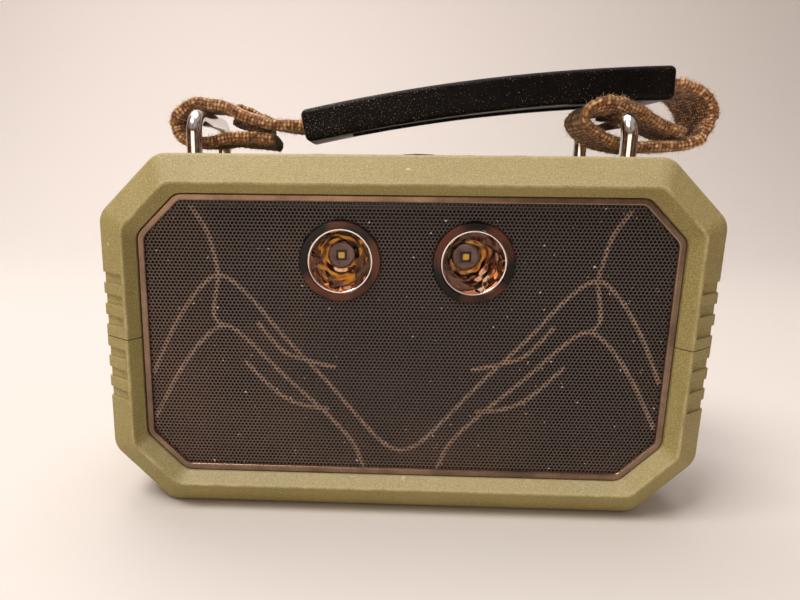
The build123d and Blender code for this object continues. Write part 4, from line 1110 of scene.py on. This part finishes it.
def strand_line(points, before=None, after=None):
    """Evenly spaced rows along a smooth line through the points, and each row's lean and curl."""
    values = [np.array(point, float) for point in points]
    padded = [before if before is not None else 2 * values[0] - values[1]] + values
    padded.append(after if after is not None else 2 * values[-1] - values[-2])
    fine = []
    for a, b, c, d in zip(padded, padded[1:], padded[2:], padded[3:]):
        t = np.linspace(0, 1, 40, endpoint=False)[:, None]
        fine.append(
            0.5 * (2 * b + (c - a) * t + (2 * a - 5 * b + 4 * c - d) * t * t + (3 * b - a - 3 * c + d) * t ** 3)
        )
    fine.append(values[-1][None])
    fine = np.concatenate(fine)
    run = np.concatenate([[0], np.cumsum(np.linalg.norm(np.diff(fine[:, :2], axis=0), axis=1))])
    rows = max(int(run[-1] * MM / WEAVE_STEP), 8)
    at = np.linspace(0, run[-1], rows)
    return np.stack([np.interp(at, run, fine[:, k]) for k in range(4)], 1), at * MM


def yarn_height(across, along, seed):
    """The plain weave's surface: raised crossings, alternately along and across, none quite alike."""
    u, v = across / YARN, along / YARN
    iu, iv = np.floor(u).astype(int), np.floor(v).astype(int)
    fu, fv = u - iu - 0.5, v - iv - 0.5
    over = (iu + iv) % 2 == 0
    warp = np.cos(np.pi * fu) * (0.45 + 0.55 * np.cos(np.pi * fv))
    weft = np.cos(np.pi * fv) * (0.45 + 0.55 * np.cos(np.pi * fu))
    draw = np.random.default_rng(seed).uniform(0.35, 1.45, (257, 263))
    uneven = draw[iu % 257, iv % 263]
    return np.where(over, warp, weft * 0.9) * uneven, uneven


def woven(name, points, seed, before=None, after=None, ends=(1.0, 1.0), half_width=STRAP_HALF, shift=0.0,
          start=0.0, thick=STRAP_THICK, darkened=0.0):
    """A strap as one closed mesh with its weave in relief, and a point attribute that holds the relief."""
    rows, along = strand_line(points, before, after)
    along = along + start
    centre = rows[:, :2] * MM
    centre[:, 1] += TOP
    ahead = np.gradient(centre, axis=0)
    ahead /= np.linalg.norm(ahead, axis=1)[:, None]
    normal = np.stack([-ahead[:, 1], ahead[:, 0]], 1)
    half_thick = thick / 2
    flat = int(2 * (half_width - half_thick) / WEAVE_STEP)
    section = []                                      # across the strap, off its middle, and the way out
    for i in range(flat + 1):
        section.append(
            (-half_width + half_thick + 2 * (half_width - half_thick) * i / flat, half_thick, 0.0, 1.0)
        )
    for i in range(1, 12):
        turn = math.pi / 2 - math.pi * i / 12
        section.append((
            half_width - half_thick + half_thick * math.cos(turn), half_thick * math.sin(turn),
            math.cos(turn), math.sin(turn),
        ))
    section += [(-a, -b, -c, -d) for a, b, c, d in section]
    section = np.array(section)
    walk = np.concatenate([[0], np.cumsum(np.linalg.norm(np.diff(section[:, :2], axis=0), axis=1))])
    relief, uneven = yarn_height(walk[None, :] + 0 * along[:, None], along[:, None] + 0 * walk[None, :], seed)
    draw = np.random.default_rng(seed + 1)
    far_edge, near_edge, lumps = (
        np.interp(along, np.linspace(along[0], along[-1], knots), draw.normal(0, wander, knots))[:, None]
        for knots, wander in ((60, EDGE_WANDER), (60, EDGE_WANDER), (16, LUMP))
    )
    edge_share = (np.abs(section[None, :, 0]) / half_width) ** 4
    across = section[None, :, 0] + np.where(section[None, :, 0] > 0, far_edge, near_edge) * edge_share
    off = section[None, :, 1] + 0 * across
    across = across + section[None, :, 2] * relief * YARN_RISE
    off = off + section[None, :, 3] * relief * YARN_RISE + lumps
    # The near edge curls up round the grip's lower edge.
    curl = rows[:, 3][:, None]
    slide = (half_width - CURL_WIDTH) - GRIP_EDGE
    bend_from = -half_width + CURL_WIDTH
    past = np.maximum(bend_from - across, 0) / CURL_RADIUS
    inner = CURL_RADIUS - off
    y_curl = bend_from - inner * np.sin(past)
    n_curl = CURL_RADIUS - inner * np.cos(past)
    in_bend = past > 0
    y = np.where(in_bend, curl * y_curl + (1 - curl) * across, across) + slide * curl + shift
    n = np.where(in_bend, curl * n_curl + (1 - curl) * off, off)
    lean = np.radians(rows[:, 2])[:, None] * np.sign(normal[:, 1:2] + 1e-9)
    y_leant = y * np.cos(lean) + n * np.sin(lean)
    n_leant = n * np.cos(lean) - y * np.sin(lean)
    x_world = centre[:, 0:1] + normal[:, 0:1] * n_leant
    z_world = centre[:, 1:2] + normal[:, 1:2] * n_leant
    points3 = np.stack([x_world, y_leant + 0 * x_world, z_world], 2)
    count, around = points3.shape[:2]
    squeeze = np.ones(count)
    middle = points3.mean(1, keepdims=True)
    taper = 6
    for k in range(taper):                            # each end closes to a rounded cut
        squeeze[k] = ends[0] + (1 - ends[0]) * math.sqrt(k / taper)
        squeeze[-1 - k] = ends[1] + (1 - ends[1]) * math.sqrt(k / taper)
    points3 = middle + (points3 - middle) * squeeze[:, None, None]
    faces = []
    for i in range(count - 1):
        base = i * around
        for j in range(around):
            k = (j + 1) % around
            faces.append((base + j, base + k, base + around + k, base + around + j))
    faces.append(tuple(range(around)))
    faces.append(tuple(reversed(range((count - 1) * around, count * around))))
    mesh = bpy.data.meshes.new(name)
    mesh.from_pydata(points3.reshape(-1, 3).tolist(), [], faces)
    shape = bmesh.new()
    shape.from_mesh(mesh)
    bmesh.ops.recalc_face_normals(shape, faces=shape.faces)
    shape.to_mesh(mesh)
    shape.free()
    mesh.polygons.foreach_set("use_smooth", [True] * len(mesh.polygons))
    raised = mesh.attributes.new("raised", "FLOAT", "POINT")
    raised.data.foreach_set("value", (np.clip(relief, 0, 1.2) / 1.2).ravel().astype(np.float32))
    fade = mesh.attributes.new("near_black", "FLOAT", "POINT")
    near_end = np.clip(1 - (along[-1] - along) / (2.6 * MM), 0, 1) if ends[1] < 1 else np.zeros(count)
    fade.data.foreach_set("value", np.repeat(np.maximum(near_end, darkened), around).astype(np.float32))
    return linked(name, mesh), points3, section


# Jute yarn: near black in the gaps of the weave as painted shade, pale straw on its crests as painted
# highlight, blotched by handling, near black where the cut end was scorched, and near black on the piece under
# the left strand.
jute, tree, surface = material("woven jute webbing", "#8A6238", roughness=0.9, Sheen_Weight=0.25)
place = add(tree, "TexCoord", out="Object")
raised = add(tree, "Attribute", attribute_name="raised", out="Fac")
near_black = add(tree, "Attribute", attribute_name="near_black", out="Fac")
blotch = add(tree, "TexNoise", Vector=place, Scale=1 / (9 * MM), Detail=3.0, Roughness=0.6)
fine = add(tree, "TexNoise", Vector=place, Scale=1 / (0.5 * MM), Detail=4.0, Roughness=0.7)
# Painted shade and highlight: the colour follows the weave's relief, near black where it sinks, pale where it
# rises.
value = add(
    tree, "Math", operation="ADD", i0=add(tree, "Math", operation="MULTIPLY", i0=raised, i1=0.62),
    i1=add(tree, "Math", operation="MULTIPLY", i0=fine, i1=0.5),
)
tone = add(
    tree, "ValToRGB", Fac=value,
    stops=[(0.26, "#1E0C06"), (0.40, "#6A3A1C"), (0.56, "#B4824F"), (0.80, "#F0CFA0")],
)
tone = add(
    tree, "Mix", data_type="RGBA", i0=add(tree, "ValToRGB", Fac=blotch, stops=[(0.45, 0.0), (0.75, 0.40)]),
    i6=tone, i7=srgb("#7A4A26"), out=2,
)
tone = add(tree, "Mix", data_type="RGBA", i0=near_black, i6=tone, i7=srgb("#22130D"), out=2)
tree.links.new(tone, surface.inputs["Base Color"])
add(tree, "Bump", Height=fine, Distance=0.15 * MM, Strength=0.7, to=surface.inputs["Normal"])

# Single jute fibres: paler than the yarn, and dull.
hair_tone, tree, surface = material("frayed jute fibre", "#B08A5C", roughness=0.8, Sheen_Weight=0.2)
add(
    tree, "ValToRGB",
    Fac=add(
        tree, "TexNoise", Vector=add(tree, "TexCoord", out="Object"), Scale=1 / (1.2 * MM), Detail=4.0,
        Roughness=0.6,
    ),
    stops=[(0.3, "#8A6238"), (0.7, "#D8B88C")], to=surface.inputs["Base Color"],
)


def fibre():
    """One stray fibre, a bent three-sided hair a millimetre long, that stands on the origin along Z."""
    points, faces = [], []
    for k in range(5):
        t = k / 4
        radius = 0.055 * MM * (1 - 0.6 * t)
        for i in range(3):
            turn = 2 * math.pi * i / 3
            points.append((radius * math.cos(turn) + 0.5 * MM * t * t, radius * math.sin(turn), 1.0 * MM * t))
    for k in range(4):
        for i in range(3):
            j = (i + 1) % 3
            faces.append((3 * k + i, 3 * k + j, 3 * k + 3 + j, 3 * k + 3 + i))
    faces += [(2, 1, 0), (12, 13, 14)]
    mesh = bpy.data.meshes.new("fibre")
    mesh.from_pydata(points, [], faces)
    return linked("fibre", mesh)


def fibre_tree(hair, finish):
    """Geometry Nodes: a hair on each seed point, turned and sized by the point's own attributes."""
    group = bpy.data.node_groups.new("fibres on points", "GeometryNodeTree")
    group.interface.new_socket("Geometry", in_out="INPUT", socket_type="NodeSocketGeometry")
    group.interface.new_socket("Shortest", in_out="INPUT", socket_type="NodeSocketFloat")
    group.interface.new_socket("Longest", in_out="INPUT", socket_type="NodeSocketFloat")
    group.interface.new_socket("Geometry", in_out="OUTPUT", socket_type="NodeSocketGeometry")
    enter = add(group, "NodeGroupInput", out=None)
    shape = add(group, "GeometryNodeObjectInfo", Object=hair, out="Geometry")
    turn = add(group, "GeometryNodeInputNamedAttribute", data_type="FLOAT_VECTOR", Name="turn", out="Attribute")
    size = add(
        group, "FunctionNodeRandomValue", data_type="FLOAT", i2=enter["Shortest"], i3=enter["Longest"], Seed=7,
        out=1,
    )
    spread = add(
        group, "GeometryNodeInstanceOnPoints", Points=enter["Geometry"], Instance=shape, Rotation=turn,
        Scale=size,
    )
    solid = add(group, "GeometryNodeRealizeInstances", Geometry=spread)
    painted = add(group, "GeometryNodeSetMaterial", Geometry=solid, Material=finish)
    add(group, "NodeGroupOutput", Geometry=painted, out=None)
    return group


def frayed(surface_points, section, count, seed):
    """Stray fibres on a strap, four in five of them along its edges."""
    draw = random.Random(seed)
    rows, around = surface_points.shape[:2]
    sides = [k for k in range(around) if abs(section[k, 0]) > STRAP_HALF - 1.6 * MM]
    seeds, turns = [], []
    for _ in range(count):
        i = draw.randrange(3, rows - 3)
        k = draw.choice(sides) if draw.random() < 0.8 else draw.randrange(around)
        here = Vector(surface_points[i, k])
        middle = Vector(surface_points[i].mean(0))
        away = here - middle
        flat = Vector((away.x, 0, away.z)).normalized()
        way = Vector((0, math.copysign(1, away.y), 0)) if k in sides else flat
        way = (way * 0.8 + Vector([draw.gauss(0, 0.55) for _ in range(3)])).normalized()
        seeds.append(here - way * 0.15 * MM)
        turns.append(way.to_track_quat("Z", "X").to_euler())
        turns[-1].rotate_axis("Z", draw.uniform(0, 2 * math.pi))
    return seeds, turns


def grow_fibres(name, surface_points, section, count, seed):
    seeds, turns = frayed(surface_points, section, count, seed)
    return grown(name, seeds, fibre_group, turns, Shortest=0.25, Longest=1.5)


hair = fibre()
fibre_group = fibre_tree(hair, hair_tone)

left_strap, left_points, left_section = woven("webbing_left_woven", LEFT_STRAND, 11, ends=(0.9, 0.55))
finish_piece(left_strap, jute, "handle", "webbing", "webbing_left")
left_hairs = grow_fibres("webbing_left_fibres", left_points, left_section, 5200, 21)
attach(left_hairs, "handle")

# The strap's own end, folded over and sewn on top of the left strand, and a near-black strap piece below it.
LEFT_FOLD = [(-57.2, 16.5, 0, 0), (-53.0, 15.1, 0, 0), (-48.6, 13.0, 0, 0), (-44.5, 11.5, 0, 0)]
LEFT_UNDER = [
    (-57.0, 10.6, 0, 0), (-54.0, 10.1, 0, 0), (-50.0, 9.0, 0, 0), (-46.5, 8.2, 0, 0), (-44.2, 8.0, 0, 0),
]
left_fold, _, _ = woven(
    "webbing_left_fold", LEFT_FOLD, 14, ends=(0.7, 0.6), half_width=5.2 * MM, shift=5.0 * MM, thick=1.7 * MM,
)
# A second strap piece under the left strand, darkened to near black all over.
left_under, _, _ = woven(
    "webbing_left_singed", LEFT_UNDER, 15, ends=(0.6, 0.6), half_width=9.6 * MM, thick=2.0 * MM, darkened=0.85,
)
for piece in (left_fold, left_under):
    finish_piece(piece, jute, "handle", "webbing")

right_strand, strand_points, strand_section = woven(
    "webbing_right_strand", RIGHT_STRAND, 12, ends=(0.9, 1.0), after=np.array(RIGHT_LOOP[1], float),
)
right_loop, loop_points, loop_section = woven(
    "webbing_right_loop", RIGHT_LOOP, 12, ends=(1.0, 0.55), before=np.array(RIGHT_STRAND[-2], float),
    start=strand_line(RIGHT_STRAND, after=np.array(RIGHT_LOOP[1], float))[1][-1],
)
finish_piece(right_loop, jute, "housing", "webbing", "webbing_right")
loop_hairs = grow_fibres("webbing_right_loop_fibres", loop_points, loop_section, 4600, 22)
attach(loop_hairs, "housing")

# The right-hand strand goes over from the casing to the handle.
right_strand.data.materials.append(jute)
strand_hairs = grow_fibres("webbing_right_strand_fibres", strand_points, strand_section, 2800, 23)
for piece in (right_strand, strand_hairs):
    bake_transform(piece)
    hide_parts("webbing_right")
bpy.data.objects.remove(hair)
